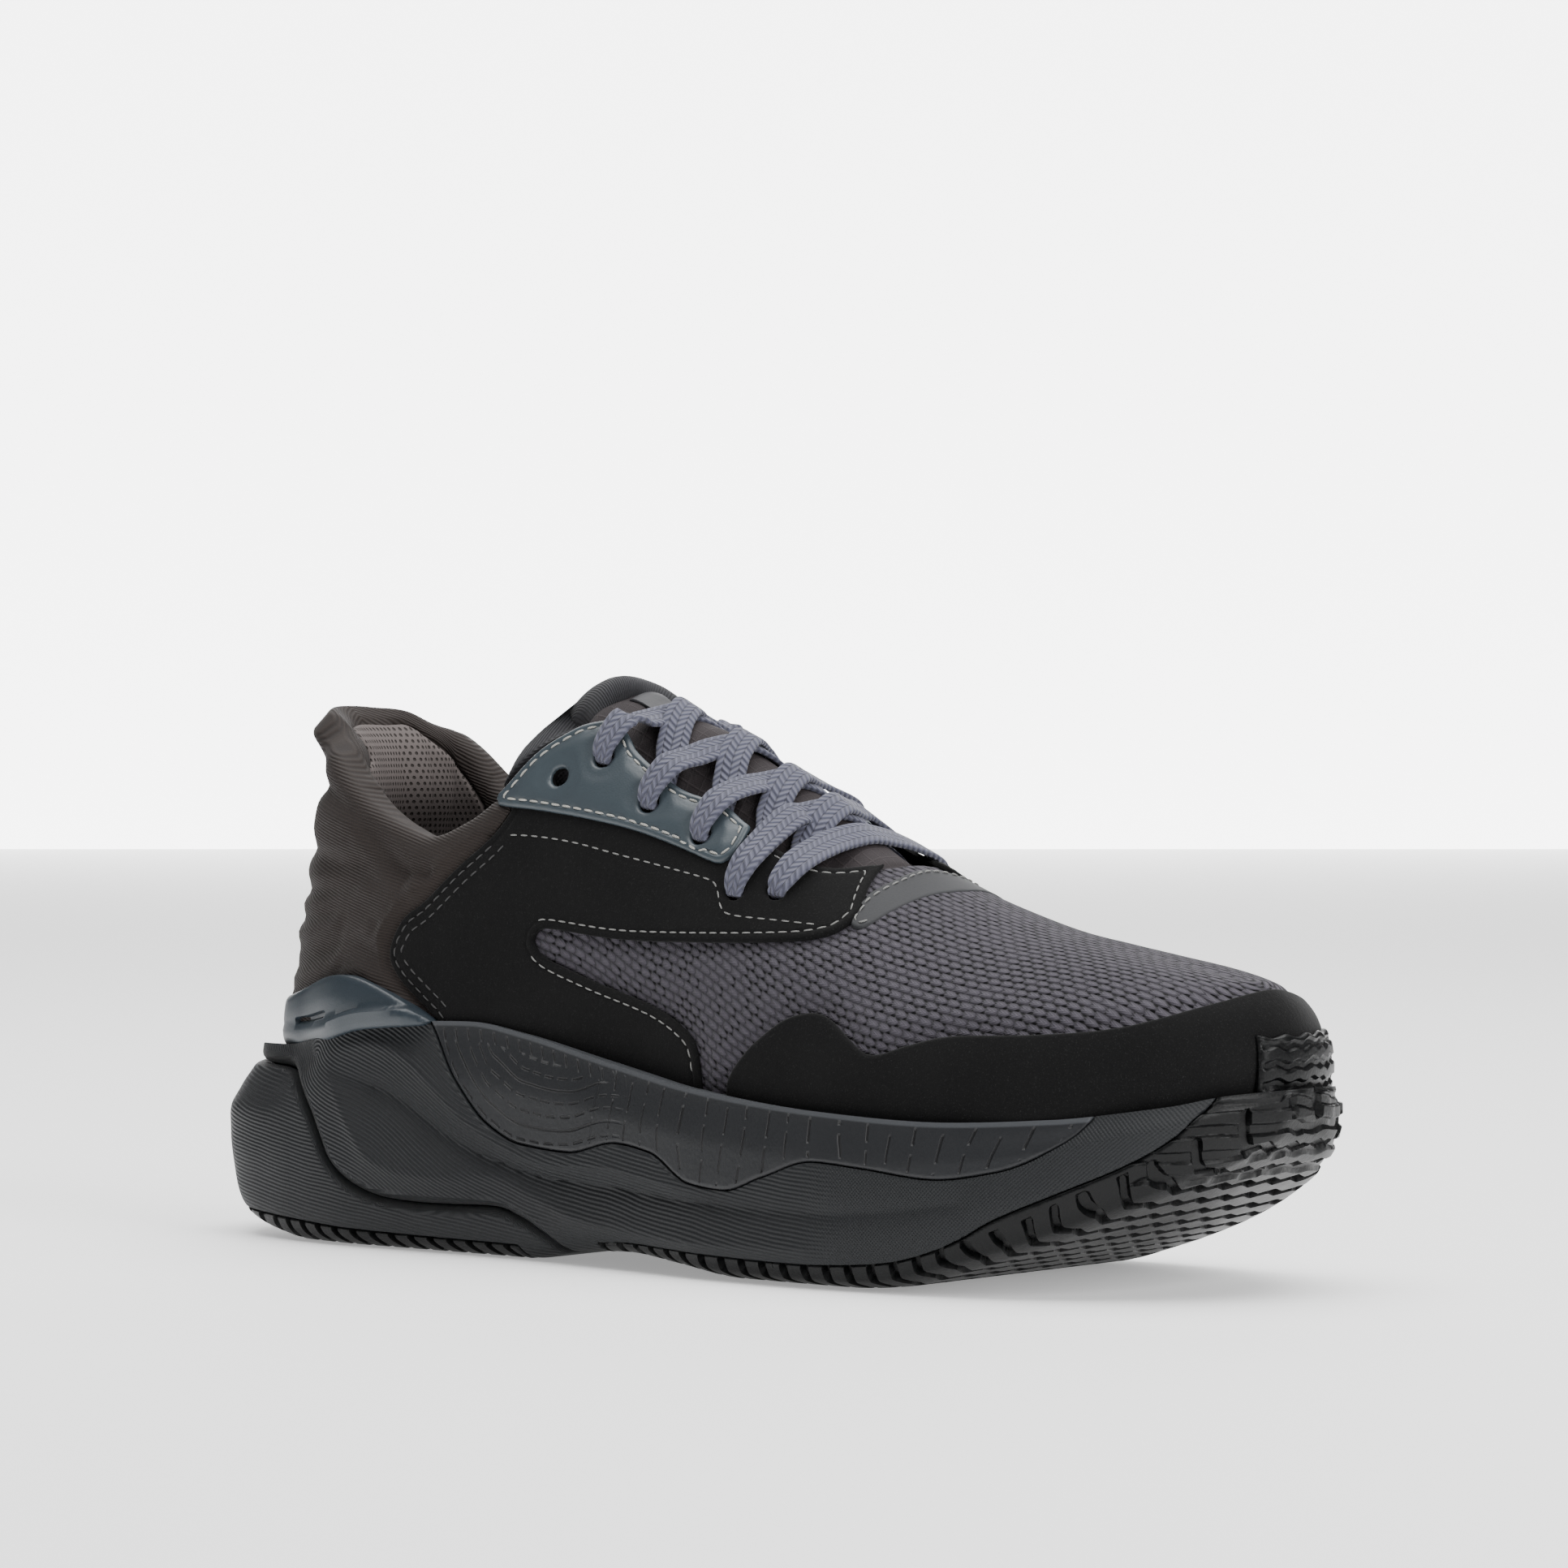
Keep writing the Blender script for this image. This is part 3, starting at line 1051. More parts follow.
for side, sign in SIDES:
    own = np.where(PY * sign > 0, 50, -5)
    leather = part_of(skin, side, np.minimum(skin["quarter"], own), np.minimum(skin["open"], 50), skin["holes"])
    leather["row"] = np.where(leather["holes"] < leather["edge"] + 0.1, 9, leather["edge"])
    leather.split("row", 1.5, 2.1, 2.7)
    seam_dip = 0.22 * (1 - smooth(0.1, 0.6, np.abs(leather["row"] - 2.1)))
    body_of_sheet(f"quarter_overlay_{side}", leather, rounding(leather["edge"], 0.9, 0.8) + seam_dip, 1.2, suede,
                  nodes=[f"quarter_overlay_{side}"], slot="suede")
    rows = contour(leather, "row", 2.1)
    sewn(f"quarter_stitching_{side}", rows, 0.15, grey_thread, size=0.2,
         keep=lambda p: in_sight(p) and p[0] > -36)
    sewn(f"heel_stitching_{side}", rows, 0.1, dark_thread, size=0.22, keep=lambda p: in_sight(p) and p[0] < -44)
    sewn(f"heel_stitching_inner_{side}", contour(leather, "row", 4.6), 0.05, dark_thread, size=0.22,
         keep=lambda p: in_sight(p) and p[0] < -46)

# A row of stitches across each quarter, from the heel seam to the front of the throat.
across_line = spline([[-62, 96.5], [-53.5, 98.6], [-42.5, 99.4], [-27.2, 98.1], [-12.5, 95.4], [2.4, 92.7], [13, 90.8],
                      [17.5, 89.6], [19.5, 87.5], [21.6, 84.2], [25, 82.4], [37.7, 81.4], [47.7, 80.6]])
for side, sign in SIDES:
    path = skin.copy()
    path.only((path["p"][path.tris][:, :, 1] * sign > 0).all(1) & (path["quarter"][path.tris] > 3).all(1)
              & (path["open"][path.tris] > 1).all(1))
    path["n"] = path["n"].copy()
    path["row"] = line_distance(across_line, path["p"][:, 0], path["p"][:, 2])
    path.only((np.abs(path["row"][path.tris]) < 4).any(1))
    sewn(f"quarter_cross_stitching_{side}", contour(path, "row", 0.0), 0.1, grey_thread, size=0.2)

# ---- upper: eyestays and throat band -------------------------------------------------------------
# A glossy film panel on each side carries the upper four lace holes and is sewn down all round with
# light thread; a strip of the same film closes the front of the throat.


def panel_material(name, dark, light, rough, shade=1.0):
    s = Shader(name, shade)
    cloud = s.noise(40, 2.0)
    grain = s.noise(2200, 2.0)
    base = s.colour(cloud, dark, light)
    return s.finish(Base_Color=base, Roughness=cloud * 0.12 + grain * 0.08 + rough, Normal=s.bump(grain, 0.035),
                    Specular_IOR_Level=0.5)


eyestay = outline_part([[-51.5, 108], spline([[-50.3, 106.2], [-48.6, 106], [-38, 105.2], [-23, 103.4], [-9, 100.9],
                                              [6.3, 96.8], [14.5, 94.4], [18, 93.9], [20.6, 95.6], [21.4, 98.2]]),
                        [21.4, 125], [-20, 140], [-51.5, 140]])
skin["eyestay"] = skin.evened(within(eyestay, PX, PZ))
panel = panel_material("eyestay_film", "475259", "515d65", 0.3, 0.54)
light_thread = thread_material("light_thread", "9d9d98", "d6d4cb")
for side, sign in SIDES:
    own = np.where(PY * sign > 0, 50, -5)
    film_panel = part_of(skin, side, np.minimum(skin["eyestay"], own), skin["open"], skin["holes"] - 0.1)
    film_panel["row"] = np.where(film_panel["holes"] < film_panel["edge"] + 0.3, 9, film_panel["edge"])
    film_panel.split("row", 1.2, 1.8, 2.4)
    dip = 0.28 * (1 - smooth(0.1, 0.6, np.abs(film_panel["row"] - 1.8)))
    puffed = -1.25 - 0.35 * smooth(2.2, 5, film_panel["edge"])
    body_of_sheet(f"eyestay_{side}", film_panel, puffed + rounding(film_panel["edge"], 1.1, 0.9) + dip, -0.05, panel,
                  nodes=[f"eyestay_{side}"], slot="eyestay_tpu")
    sewn(f"eyestay_stitching_{side}", contour(film_panel, "row", 1.8), -1.1, light_thread, length=2.5, size=0.27)

band_outline = np.array(spline([[53, -27], [54.5, -12], [54, 0], [54.5, 12], [53, 27], [58, 29], [61.5, 22], [64, 11],
                                [65.5, 0], [64, -11], [61.5, -22], [58, -29]], closed=True))
skin["band"] = np.where(PZ > 60, skin.evened(within(band_outline, PX, PY)), -9)
band = part_of(skin, "band", skin["band"], np.where(skin["quarter"] > 0, -1.0, 9.0))
body_of_sheet("throat_band", band, 0.35 + rounding(band["edge"], 0.8, 0.7), 1.35,
              panel_material("band_film", "2a2c31", "34363c", 0.62, 0.35), nodes=["throat_band"], slot="band_film")
sewn("throat_band_stitching", contour(band, "edge", 1.6), 0.3, grey_thread, size=0.24, keep=lambda p: p[0] < 58)

# ---- upper: padded heel --------------------------------------------------------------------------
# A quilted cover of ribbed cloth over foam, moulded into folds and flared at the back. It rolls over
# the collar and meets the mesh lining in a seam a finger's breadth down inside.


def pad_depth(z):
    """How far in the padding reaches: thickest half way up, and thin again at the flared top."""
    return 4.6 + 5.2 * smooth(48, 78, z) * (1 - 0.6 * smooth(106, 124, z))


folds = [([[0, 113], [20, 112], [45, 108], [57, 104.5], [62, 100], [70.5, 94.4], [77.5, 90.5], [86, 89.6]], 2.2, 2.3),
         ([[0, 98], [25, 95], [50, 91], [60, 91.9], [68, 91.5], [77, 88.5]], 1.9, 2.2),
         ([[0, 89], [25, 85], [51, 85.6], [61, 87.9], [69, 86.7], [79, 83.5]], 1.5, 1.9),
         ([[0, 81], [25, 78], [49, 80.2], [57.5, 82.1], [67, 82.3], [73, 81]], 1.3, 1.8),
         ([[0, 72], [25, 70.5], [47, 73.2], [55, 77.5], [65, 78.6], [69, 77.4]], 1.5, 1.9),
         ([[0, 67], [25, 66], [46, 69.5], [57, 72.9], [66, 72.1], [73, 68.8], [81, 62.8], [91, 56.9]], 1.8, 2.1),
         ([[0, 61], [25, 60.5], [48, 63.5], [56, 68], [64, 68.9], [71, 66.5], [78, 61]], 1.1, 1.7)]


def heel_cloth_material():
    s = Shader("heel_cover", 0.33)
    grain = s.named("grain")
    ribs = grain.wave(0.72) * 0.5 + 0.5
    cloud = s.noise(45, 3.0)
    fuzz = s.noise(1800, 2.0)
    base = s.colour(cloud, "38302d", "453b37")
    base = s.colour(ribs * 0.45, base, "5d514b")
    return s.finish(Base_Color=base, Roughness=cloud * 0.1 + 0.68, Normal=s.bump(ribs * 0.75 + fuzz * 0.25, 0.2),
                    Specular_IOR_Level=0.2, Sheen_Weight=0.04)


heel_cloth = heel_cloth_material()
cover = part_of(skin, "cover", skin["heel"], skin["rim"], skin["base"], levels=(0.2, 0.6, 1.2, 2, 3))
quilt = np.zeros(len(cover["p"]))
CZ = cover["p"][:, 2]
for points, depth, width in folds:
    d = line_distance(spline(points), cover["arc"], CZ)
    d = d / width
    quilt += depth * (np.exp(-((d / 1.25) ** 2)) - 0.3 * np.exp(-(((np.abs(d) - 2.1) / 1.2) ** 2)))
quilt *= 0.6 * smooth(0, 4, cover["heel"]) * smooth(2, 9, cover["rim"])
to_seam = np.where(cover["rim"] > 1.5, cover["heel"], 9)
drawn_in = curve([[50, 3.2], [60, 4], [70, 4.4], [82, 4.2], [90, 3], [97, 1], [103, -0.6], [115, -0.4], [125, 0]])
outer = -1.5 + drawn_in(CZ) * smooth(-80, -112, cover["p"][:, 0]) + quilt
outer += 2.3 * (1 - smooth(0, 3.2, np.where(CZ > 100, 9, to_seam)))
outer += 1.9 * (1 - smooth(0, 2.5, cover["heel"])) * smooth(98, 102, CZ)
thickness = pad_depth(CZ) + 1.5
tip = smooth(-114, -130, cover["p"][:, 0])
radius = 3.4 - 1.9 * tip
roll = np.minimum(radius, thickness * 0.42)
over_rim = roll * (1 - np.sqrt(1 - np.clip(1 - cover["rim"] / radius, 0, 1) ** 2 * 0.99))
strip = 6.5 * (1 - smooth(-64, -50, cover["p"][:, 0])) + 0.3
inside_seam = 0.9 * np.exp(-(((cover["rim"] - strip) / 0.7) ** 2))
lined = smooth(-0.2, 0.3, cover["rim"] - strip)
inner_depth = pad_depth(CZ) + 0.2 - over_rim - inside_seam - 1.35 * lined
cover_grain = CZ + 0.22 * cover["arc"] - quilt * 0.25
cover_piece = body_of_sheet("heel_cover", cover, outer + over_rim, inner_depth, heel_cloth,
                            nodes=["heel_cover", "collar_foam", "heel_counter_stiffener"], slot="heel_cover_pu",
                            sharp=60, grain=cover_grain)


def mesh_material():
    s = Shader("collar_mesh", 0.78)
    z = s.axes()[2]
    along = s.named("arc")
    pitch, tall = 2.1, 1.5
    row = (z / tall).floor()
    fu = ((along + (row * 0.5).frac() * pitch) / pitch).frac() - 0.5
    fv = (z / tall).frac() - 0.5
    far = (fu * fu * 5 + fv * fv * 3.2).power(0.5)
    hole = 1 - far.ramp(0.28, 0.62)
    cloud = s.noise(40, 2.0)
    base = s.colour(cloud, "5f5856", "6d6563")
    base = s.colour(hole * 0.85, base, "27231f")
    return s.finish(Base_Color=base, Roughness=cloud * 0.1 + 0.8, Normal=s.bump(1 - hole, 0.5),
                    Specular_IOR_Level=0.25)


skin["strip"] = skin["rim"] - np.where(skin["heel"] > 0, 6.5 * (1 - smooth(-64, -50, PX)) + 0.3, 0.5)
mesh = part_of(skin, "mesh", skin["strip"], skin["open"], -skin["front"] - 0.2, levels=(0.3, 0.9))
MZ = mesh["p"][:, 2]
under_quarter = smooth(0.3, -0.3, mesh["heel"])
mesh_outer = (pad_depth(MZ) - 1.0) * (1 - under_quarter) + 1.6 * under_quarter
mesh_inner = pad_depth(MZ) + 0.2 - rounding(np.minimum(mesh["strip"], mesh["edge"]), 1.2, 0.8)
mesh_inner -= under_quarter * 0.35 * (pad_depth(MZ) - 2) * (1 - smooth(0, 4, mesh["rim"]))
collar = body_of_sheet("collar_lining", mesh, np.minimum(mesh_outer, mesh_inner - 0.4), mesh_inner, mesh_material(),
                       nodes=["collar_lining"], slot="collar_mesh", sharp=70, arc=mesh["arc"])

# ---- heel stabiliser -----------------------------------------------------------------------------
# A satin moulded cradle glued round the back of the heel. Its domed wall stands on a lip that hangs
# over the shelf of the midsole, with a slot behind each dome.
clip_top = outline_part([[-200, 30], spline([[-200, 57], [-150, 57.2], [-141, 57.6], [-126, 59.2], [-112, 62.6],
                                             [-104, 64.2], [-96, 64.9], [-89, 64.2], [-80, 61.6], [-72, 58.4],
                                             [-66, 55.4], [-64, 54]]), [-64, 30]])
skin["clip"] = np.minimum(skin.evened(within(clip_top, PX, PZ)), PZ - seam(PX) + 1)
clip = part_of(skin, "clip", skin["clip"], levels=(0.15, 0.5, 1, 1.7, 2.6))
CX, _, CZ = clip["p"].T
above_shelf = CZ - seam(CX)
clip["slot"] = np.hypot(np.maximum(np.abs(CX + 111) - 9, 0) * 0.9, above_shelf - 5.4) - 0.65
clip["slot"] = np.where(CX > -123, clip["slot"], 9)
clip.split("slot", 0.0, 0.35)
CX, _, CZ = clip["p"].T
above_shelf = CZ - seam(CX)
rear = smooth(-92, -118, CX)
lip = (2.3 - 1.7 * rear) * smooth(3.9, 2.6, above_shelf) * smooth(-64, -72, CX)
dome = (0.9 - 0.4 * rear) * smooth(0.5, 6, clip["edge"])
front = smooth(-64, -78, CX)
clip_depth = -2.5 + 3.6 * rear - 1.1 * front * (1 - rear) - dome - lip + rounding(clip["edge"], 2.2, 1.4)
clip_depth += 1.6 * (1 - smooth(0, 0.35, clip["slot"]))
body_of_sheet("heel_stabilizer", clip, clip_depth, 3.5, panel_material("stabilizer", "34404a", "3d4a54", 0.33, 0.47),
              nodes=["heel_stabilizer"], slot="stabilizer_tpu", sharp=50)

# ---- tongue --------------------------------------------------------------------------------------
# A padded tongue of ripstop cloth under the lace, free at its top, where it curls up into a thick
# jersey cuff. A blank woven patch sits above the top row of lace.
tongue_half = curve([[-62, 8], [-60, 14], [-57, 18.5], [-52, 21.5], [-44, 23.5], [-30, 25], [10, 28], [30, 27],
                     [42, 22], [50, 12]])


def tongue_depth(x, y):
    """Depth of the tongue's top under the skin: it sags at the edges and curls down at its end."""
    middle = 0.85 * (ridge(x) - tongue_crown(x)) - (0.16 * y + 0.01 * y * y) * smooth(-14, -28, x)
    return middle + (6.3 - middle) * smooth(3, 19, np.abs(y)) * smooth(-46, -33, x)


tongue_crown = curve([[-47, 119], [-40, 124], [-36, 127.8], [-32, 130.6], [-29, 130.4], [-22, 127.5], [-15, 125.5],
                      [-5, 122.8], [9, 114.8], [25, 106.5], [45, 94], [52, 90]])


def pad_sheet(x0, x1, half, pitch=0.9, slant=0.0, deep=tongue_depth):
    """A sheet between two stations over the throat; across runs from -1 to 1."""
    x = np.linspace(x0, x1, max(4, int((x1 - x0) / pitch)))
    across = np.linspace(-1, 1, 55)
    grid_x = np.broadcast_to(x[:, None], (len(x), 55))
    grid_y = half(x)[:, None] * across[None]
    grid_x = grid_x + slant * grid_y * ((grid_x - x0) / (x1 - x0)) ** 2
    n, m = grid_x.shape
    p, nrm = over_skin(grid_x.ravel(), grid_y.ravel(), deep(grid_x, grid_y).ravel())
    side = (1 - np.abs(np.broadcast_to(across, (n, m)))).ravel() * 24
    return Sheet(grid_faces(n, m), p=p, n=nrm, side=side, uv=np.stack([grid_x.ravel(), grid_y.ravel()], 1))


def ripstop_material():
    s = Shader("tongue_cloth", 0.5)
    u, v = s.flat()
    thick = ((u / 3.2).frac() - 0.5).abs().max(((v / 3.2).frac() - 0.5).abs())
    thread = u.wave(0.55) * v.wave(0.55) * 0.5 + 0.5
    cloud = s.noise(60, 3.0)
    base = s.colour(cloud, "3b3537", "4a4345")
    base = s.colour(thick.ramp(0.42, 0.47) * 0.4, base, "5a5254")
    return s.finish(Base_Color=base, Roughness=cloud * 0.1 + 0.75,
                    Normal=s.bump(thread * 0.4 + thick.ramp(0.4, 0.48) * 0.6, 0.18), Specular_IOR_Level=0.25)


def jersey_material():
    s = Shader("cuff_jersey", 1.4)
    u, v = s.flat()
    ribs = (u * 0.6 + v).wave(0.8) * 0.5 + 0.5
    cloud = s.noise(50, 2.0)
    base = s.colour(cloud, "151517", "232326")
    base = s.colour(ribs * 0.4, base, "36363a")
    return s.finish(Base_Color=base, Roughness=cloud * 0.1 + 0.7, Normal=s.bump(ribs, 0.16), Specular_IOR_Level=0.3,
                    Sheen_Weight=0.1)


FACE_BACK, FACE_FRONT = -40, 49.5
face = pad_sheet(FACE_BACK, FACE_FRONT, tongue_half)
FX = face["uv"][:, 0]
ends = np.minimum(face["side"], np.minimum(FX - FACE_BACK + 0.6, FACE_FRONT - FX))
quilted = 0.25 * np.exp(-((((FX + 60) % 24) - 12) / 1.2) ** 2)
plump = rounding(ends, 3.2, 2.3)
ripstop = ripstop_material()
tongue = body_of_sheet("tongue_body", face, plump + quilted, 5.0 - plump * 0.9, ripstop, body=None,
                       nodes=["tongue_body", "tongue_tip"], slot="tongue_cloth", sharp=70)
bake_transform(tongue)
cuff_crown = curve([[-61, 110], [-58, 114], [-55.4, 119], [-51.5, 125.6], [-47, 130.6], [-42.5, 133.9], [-38, 135.9],
                    [-34.6, 136.3], [-25, 135.5]])


def cuff_depth(x, y):
    return 0.85 * (ridge(x) - cuff_crown(x)) + (0.022 - 0.038 * smooth(-14, 12, y)) * y * y


cuff_half = curve([[-61, 5], [-58, 8.5], [-55, 10.5], [-51, 12.5], [-46, 14], [-41, 15.5], [-36, 17.5], [-30, 20]])
CUFF_BACK, CUFF_FRONT, CUFF_SLANT = -60.5, -31.6, 0.26
top = pad_sheet(CUFF_BACK, CUFF_FRONT, cuff_half, slant=CUFF_SLANT, deep=cuff_depth)
TX, TY = top["uv"].T
straight = TX - CUFF_SLANT * TY * ((TX - CUFF_BACK) / (CUFF_FRONT - CUFF_BACK)).clip(0, 1) ** 2
ends = np.minimum(top["side"], np.minimum(straight - CUFF_BACK, (CUFF_FRONT - straight) * 1.1 + 0.1))
plump = rounding(ends, 5.2, 4.6)
cuff = body_of_sheet("tongue_top_cuff", top, plump, 10.5 - plump * 0.55, jersey_material(),
                     body="tongue_top", nodes=["tongue_top_cuff"], slot="cuff_jersey", sharp=70)
patch = pad_sheet(-30.5, -20.5, curve([[-40, 6.8], [0, 6.8]]))
patch_edge = np.minimum(np.minimum(patch["side"] * 0.28, patch["uv"][:, 0] + 30.5), -20.5 - patch["uv"][:, 0])
body_of_sheet("tongue_emblem", patch, -0.75 + rounding(patch_edge, 0.7, 0.5), -0.05,
              panel_material("emblem_film", "1c1c20", "28282d", 0.45), nodes=["tongue_emblem"], slot="emblem_film")

# ---- lace ----------------------------------------------------------------------------------------
# One flat braided lace with a herringbone face. A bar crosses over the lowest row; above it each side
# comes out from under the throat's edge, passes over the tongue and dives into the next hole up.
LACE_WIDTH = 7.7
LACE_THICKNESS = 1.7


def lace_material():
    s = Shader("lace_braid", 1.0)
    u, v = s.flat()
    half = LACE_WIDTH / 2
    lane = (v / (half * 0.52)).floor()
    sign = (lane * 0.5).frac() * 4 - 1
    yarn = (u + v * sign * 0.9).wave(1.9) * 0.5 + 0.5
    gutter = ((v / (half * 0.52)).frac() - 0.5).abs().ramp(0.36, 0.5)
    cloud = s.noise(70, 3.0)
    base = s.colour(cloud, "3c3d4b", "4b4c5b")
    base = s.colour(yarn * 0.7, base, "676879")
    base = s.colour(gutter * 0.45, base, "23232c")
    height = yarn * 0.7 - gutter * 0.35
    return s.finish(Base_Color=base, Roughness=yarn * 0.1 + 0.68, Normal=s.bump(height, 0.5),
                    Specular_IOR_Level=0.25, Sheen_Weight=0.15)


def ribbon(route):
    """Points, triangles and flat coordinates of a lace along points [x, y, depth, width, flat x, flat y]."""
    route = np.array(route, float)
    centre, normal = over_skin(route[:, 0], route[:, 1], route[:, 2])
    steps = 14
    line = spline(centre, steps)
    knots = np.linspace(0, len(route) - 1, len(line))
    along = np.gradient(line, axis=0)
    along /= np.linalg.norm(along, axis=1)[:, None]
    index = np.arange(len(route))
    up0 = place(knots, index, normal)
    flat = np.stack([np.interp(knots, index, route[:, 4]), np.interp(knots, index, route[:, 5]), 0 * knots], 1)
    steep = smooth(0.55, 0.85, np.abs((along * up0).sum(1)))[:, None]
    across = np.cross(up0, along)
    across *= np.where((across * flat).sum(1) < 0, -1, 1)[:, None]
    across = across / np.maximum(np.linalg.norm(across, axis=1), 1e-6)[:, None] * (1 - steep) + flat * steep
    across -= along * (across * along).sum(1)[:, None]
    across /= np.linalg.norm(across, axis=1)[:, None]
    up = np.cross(along, across)
    up *= np.where((up * up0).sum(1) < 0, -1, 1)[:, None]
    width = np.interp(knots, index, route[:, 3])
    thick = LACE_THICKNESS * (1 + 0.5 * smooth(5.5, 3, width))
    count = 22
    turn = np.arange(count) * 2 * math.pi / count
    side = np.sign(np.cos(turn)) * np.abs(np.cos(turn)) ** 0.7
    lift = np.sign(np.sin(turn)) * np.abs(np.sin(turn)) ** 0.55
    crown = 1 + 0.12 * np.cos(turn * 2)
    rings = (line[:, None] + across[:, None] * side[None, :, None] * width[:, None, None] / 2
             + up[:, None] * (lift * crown)[None, :, None] * thick[:, None, None] / 2)
    run = running(np.linalg.norm(np.diff(line, axis=0), axis=1))
    uv = np.stack([np.broadcast_to(run[:, None], rings.shape[:2]),
                   np.broadcast_to(side[None] * LACE_WIDTH / 2, rings.shape[:2])], 2)
    n = len(line)
    ids = np.arange(n * count).reshape(n, count)
    a, b = ids[:-1], ids[1:]
    tris = [quads(a, np.roll(a, -1, 1), np.roll(b, -1, 1), b)]
    caps = [[ids[0, 0], ids[0, k + 1], ids[0, k]] for k in range(1, count - 1)]
    caps += [[ids[-1, 0], ids[-1, k], ids[-1, k + 1]] for k in range(1, count - 1)]
    tris = np.concatenate(tris + [np.array(caps)])
    points = rings.reshape(-1, 3)
    a, b, c = (points[tris[:, k]] for k in range(3))
    if np.einsum("ij,ij->", a, np.cross(b, c)) < 0:
        tris = tris[:, ::-1]
    return points, tris, uv.reshape(-1, 2)


UNDER = 5.2
ON_TOP = -1.75 - LACE_THICKNESS / 2
ON_SUEDE = -0.45 - LACE_THICKNESS / 2


def diagonal(low, high, side, lift):
    """Out from under the edge at the lower hole, over the tongue, into the upper hole across from it."""
    (x0, y0), (x1, y1) = low, high
    dx = x1 - x0
    run = np.hypot(dx, 2 * y0)
    flat = [side * 2 * y0 / run, dx / run]
    top = ON_TOP if x1 < 20 else ON_SUEDE

    def lying(share, y, up):
        x = x0 + dx * share
        return (x, y, float(tongue_depth(x, y)) - LACE_THICKNESS / 2 - 0.05 - up, LACE_WIDTH)

    stops = [(x0, y0, UNDER, 4), (x0 + dx * 0.08, 21, UNDER - 0.3, 5.5),
             lying(0.22, 15, 0), lying(0.36, 8, lift * 0.5), lying(0.5, 0, lift),
             lying(0.64, -9, 0.3 + lift * 0.6), (x0 + dx * 0.76, -15.5, 1.6, LACE_WIDTH),
             (x0 + dx * 0.87, -y1 + 5.5, top - 0.1, LACE_WIDTH), (x1 + 0.3, -y1 + 1.6, top - 0.1, 6.4),
             (x1, -y1 - 0.1, top + 1.3, 4.4), (x1, -y1, 1.2, 3.8), (x1, -y1 + 0.4, UNDER, 3.8)]
    return ribbon([(x, y * side, depth, width, *flat) for x, y, depth, width in stops])


runs = []
for row in range(5, 1, -1):
    runs.append(diagonal(eyelets[row], eyelets[row - 1], 1, 0))
    runs.append(diagonal(eyelets[row], eyelets[row - 1], -1, LACE_THICKNESS + 0.1))
bar_x, bar_y = eyelets[5]
on_tongue = float(tongue_depth(37.5, 0)) - LACE_THICKNESS / 2 - 0.1
half_bar = [(0, -1, UNDER, 3.8), (0, -1, 1.2, 3.8), (0.2, -1, ON_SUEDE + 1.1, 4.4), (0.6, -0.95, ON_SUEDE - 0.1, 6.4),
            (1.6, -0.8, ON_SUEDE - 0.1, LACE_WIDTH), (2.4, -0.56, 0.9, LACE_WIDTH), (2.9, -0.3, on_tongue, LACE_WIDTH)]
bar = half_bar + [(3.2, 0, on_tongue, LACE_WIDTH)] + [(x, -y, d, w) for x, y, d, w in half_bar[::-1]]
runs.append(ribbon([(bar_x + x, bar_y * y, d, w, 1, 0) for x, y, d, w in bar]))
end_x, end_y = eyelets[1]
for side in (-1, 1):
    tail = [(0, 0, 0, 3.8), (-4, 1, 0.3, 4), (-8, 1.6, 0.8, 4), (-11, 2, 1.2, 3)]
    runs.append(ribbon([(end_x + x, side * (end_y + y), UNDER + d, w, 1, 0) for x, y, d, w in tail]))
offset = np.cumsum([0] + [len(r[0]) for r in runs])
lace = mesh_object("lace", np.concatenate([r[0] for r in runs]),
                   np.concatenate([r[1] + k for r, k in zip(runs, offset)]), lace_material(),
                   np.concatenate([r[2] for r in runs]), sharp=70)
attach(lace, "shoe")
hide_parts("lace")
aglet_film = panel_material("aglet_film", "131316", "1d1d21", 0.25)
for side, name in ((-1, "aglet_lateral"), (1, "aglet_medial")):
    start, _ = over_skin(end_x - 11.5, side * (end_y + 2), UNDER + 1.2)
    stop, _ = over_skin(end_x - 23, side * (end_y + 2.5), UNDER + 1.5)
    way = stop - start
    bpy.ops.mesh.primitive_cylinder_add(vertices=24, radius=0.0014, depth=float(np.linalg.norm(way)) * MM)
    tube = bpy.context.object
    tube.name = name
    tube.rotation_euler = (0, math.acos(way[2] / np.linalg.norm(way)), math.atan2(way[1], way[0]))
    tube.location = (start + stop) / 2 * MM
    bpy.ops.object.transform_apply(location=True, rotation=True, scale=True)
    tube.data.materials.append(aglet_film)
    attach(tube, "shoe")
    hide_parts(name)

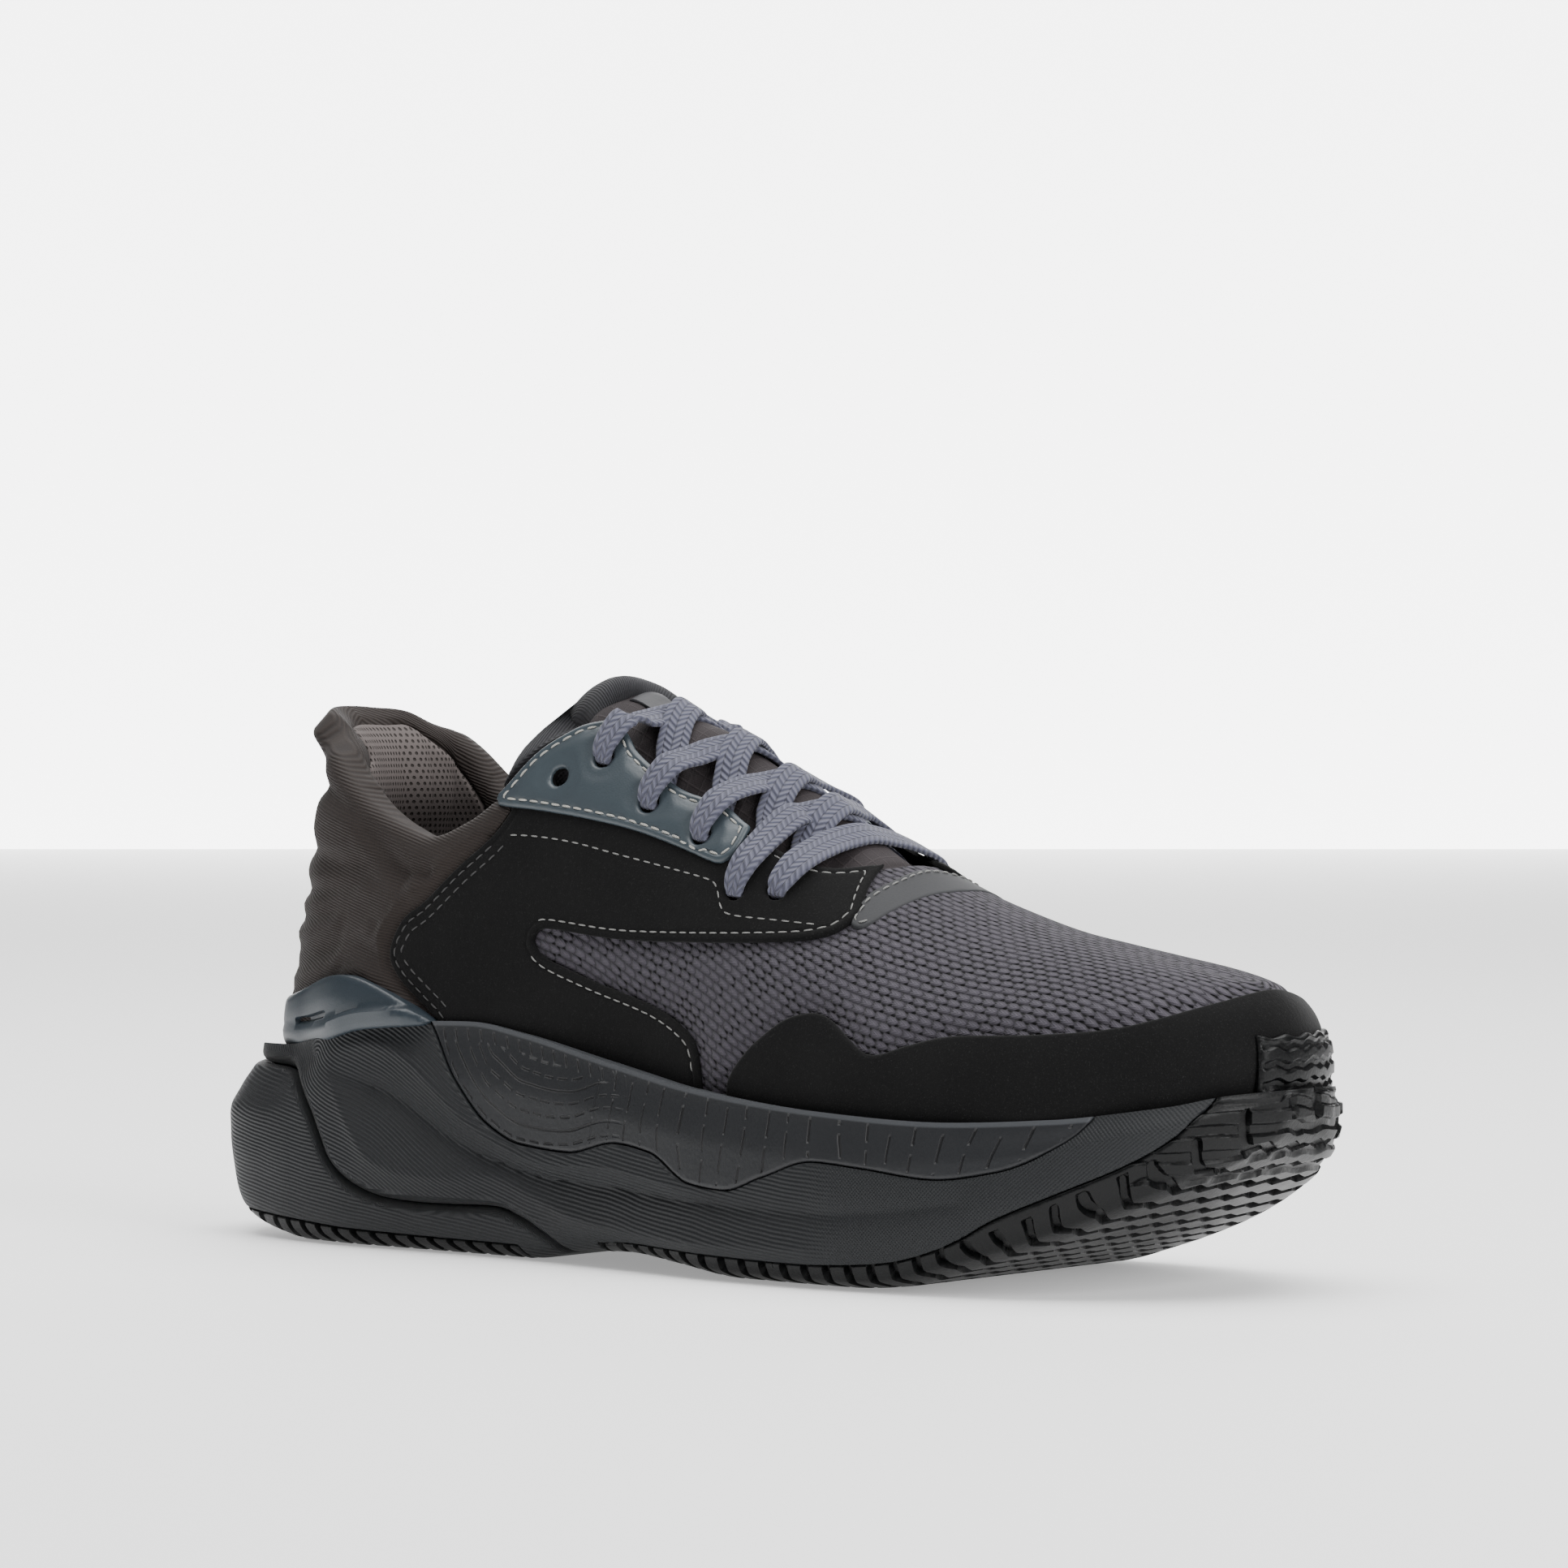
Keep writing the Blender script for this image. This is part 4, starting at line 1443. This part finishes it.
# ---- studio --------------------------------------------------------------------------------------
# A pale floor and a lit white backdrop behind it, one broad soft light overhead, a key light from
# the toe's side and a weak fill.
floor_shader = Shader("studio_floor")
sweep = floor_shader.noise(4, 2.0)
pale = floor_shader.colour(sweep, [0.94, 0.94, 0.94, 1], [0.96, 0.96, 0.96, 1])
floor_material = floor_shader.finish(Base_Color=pale,
                                     Roughness=sweep * 0.1 + 0.8, Emission_Strength=0.34,
                                     Emission_Color=[1, 1, 1, 1])
bpy.ops.mesh.primitive_plane_add(size=12, location=(0, 0, -0.0002))
floor = bpy.context.object
floor.name = "studio_floor"
floor.data.materials.append(floor_material)
backdrop_shader = Shader("studio_backdrop")
sweep = backdrop_shader.noise(2, 1.0)
backdrop_material = backdrop_shader.finish(
    Base_Color=[0.9, 0.9, 0.9, 1], Emission_Strength=5.0,
    Emission_Color=backdrop_shader.colour(sweep, [0.98, 0.98, 0.98, 1], [1, 1, 1, 1]))
bpy.ops.mesh.primitive_plane_add(size=2.4, location=(-2.2, 2.7, 1.1), rotation=(math.radians(90), 0, math.radians(39)))
backdrop = bpy.context.object
backdrop.name = "studio_backdrop"
backdrop.data.materials.append(backdrop_material)

world = bpy.data.worlds.new("studio")
bpy.context.scene.world = world
world.use_nodes = True
world.node_tree.nodes["Background"].inputs["Color"].default_value = (1, 1, 1, 1)
world.node_tree.nodes["Background"].inputs["Strength"].default_value = 0.14

for name, place, size, power in (("overhead", (-0.1, 0.15, 1.7), 2.0, 68), ("key", (1.7, -0.2, 0.9), 1.0, 30),
                                 ("fill", (-1.1, -1.6, 0.7), 1.0, 0.9)):
    bpy.ops.object.light_add(type="AREA", location=place)
    light = bpy.context.object
    light.name = f"light_{name}"
    light.data.size = size
    light.data.energy = power
    toward = -np.array(place) + np.array([0, 0, 0.05])
    light.rotation_euler = (math.acos(-toward[2] / np.linalg.norm(toward)), 0,
                            math.atan2(toward[1], toward[0]) - math.pi / 2)

bpy.ops.object.camera_add(location=(0.9512, -1.1598, 0.1377), rotation=(math.radians(89), 0, math.radians(39)))
camera = bpy.context.object
camera.data.lens = 146.19
camera.data.sensor_width = 36
bpy.context.scene.camera = camera
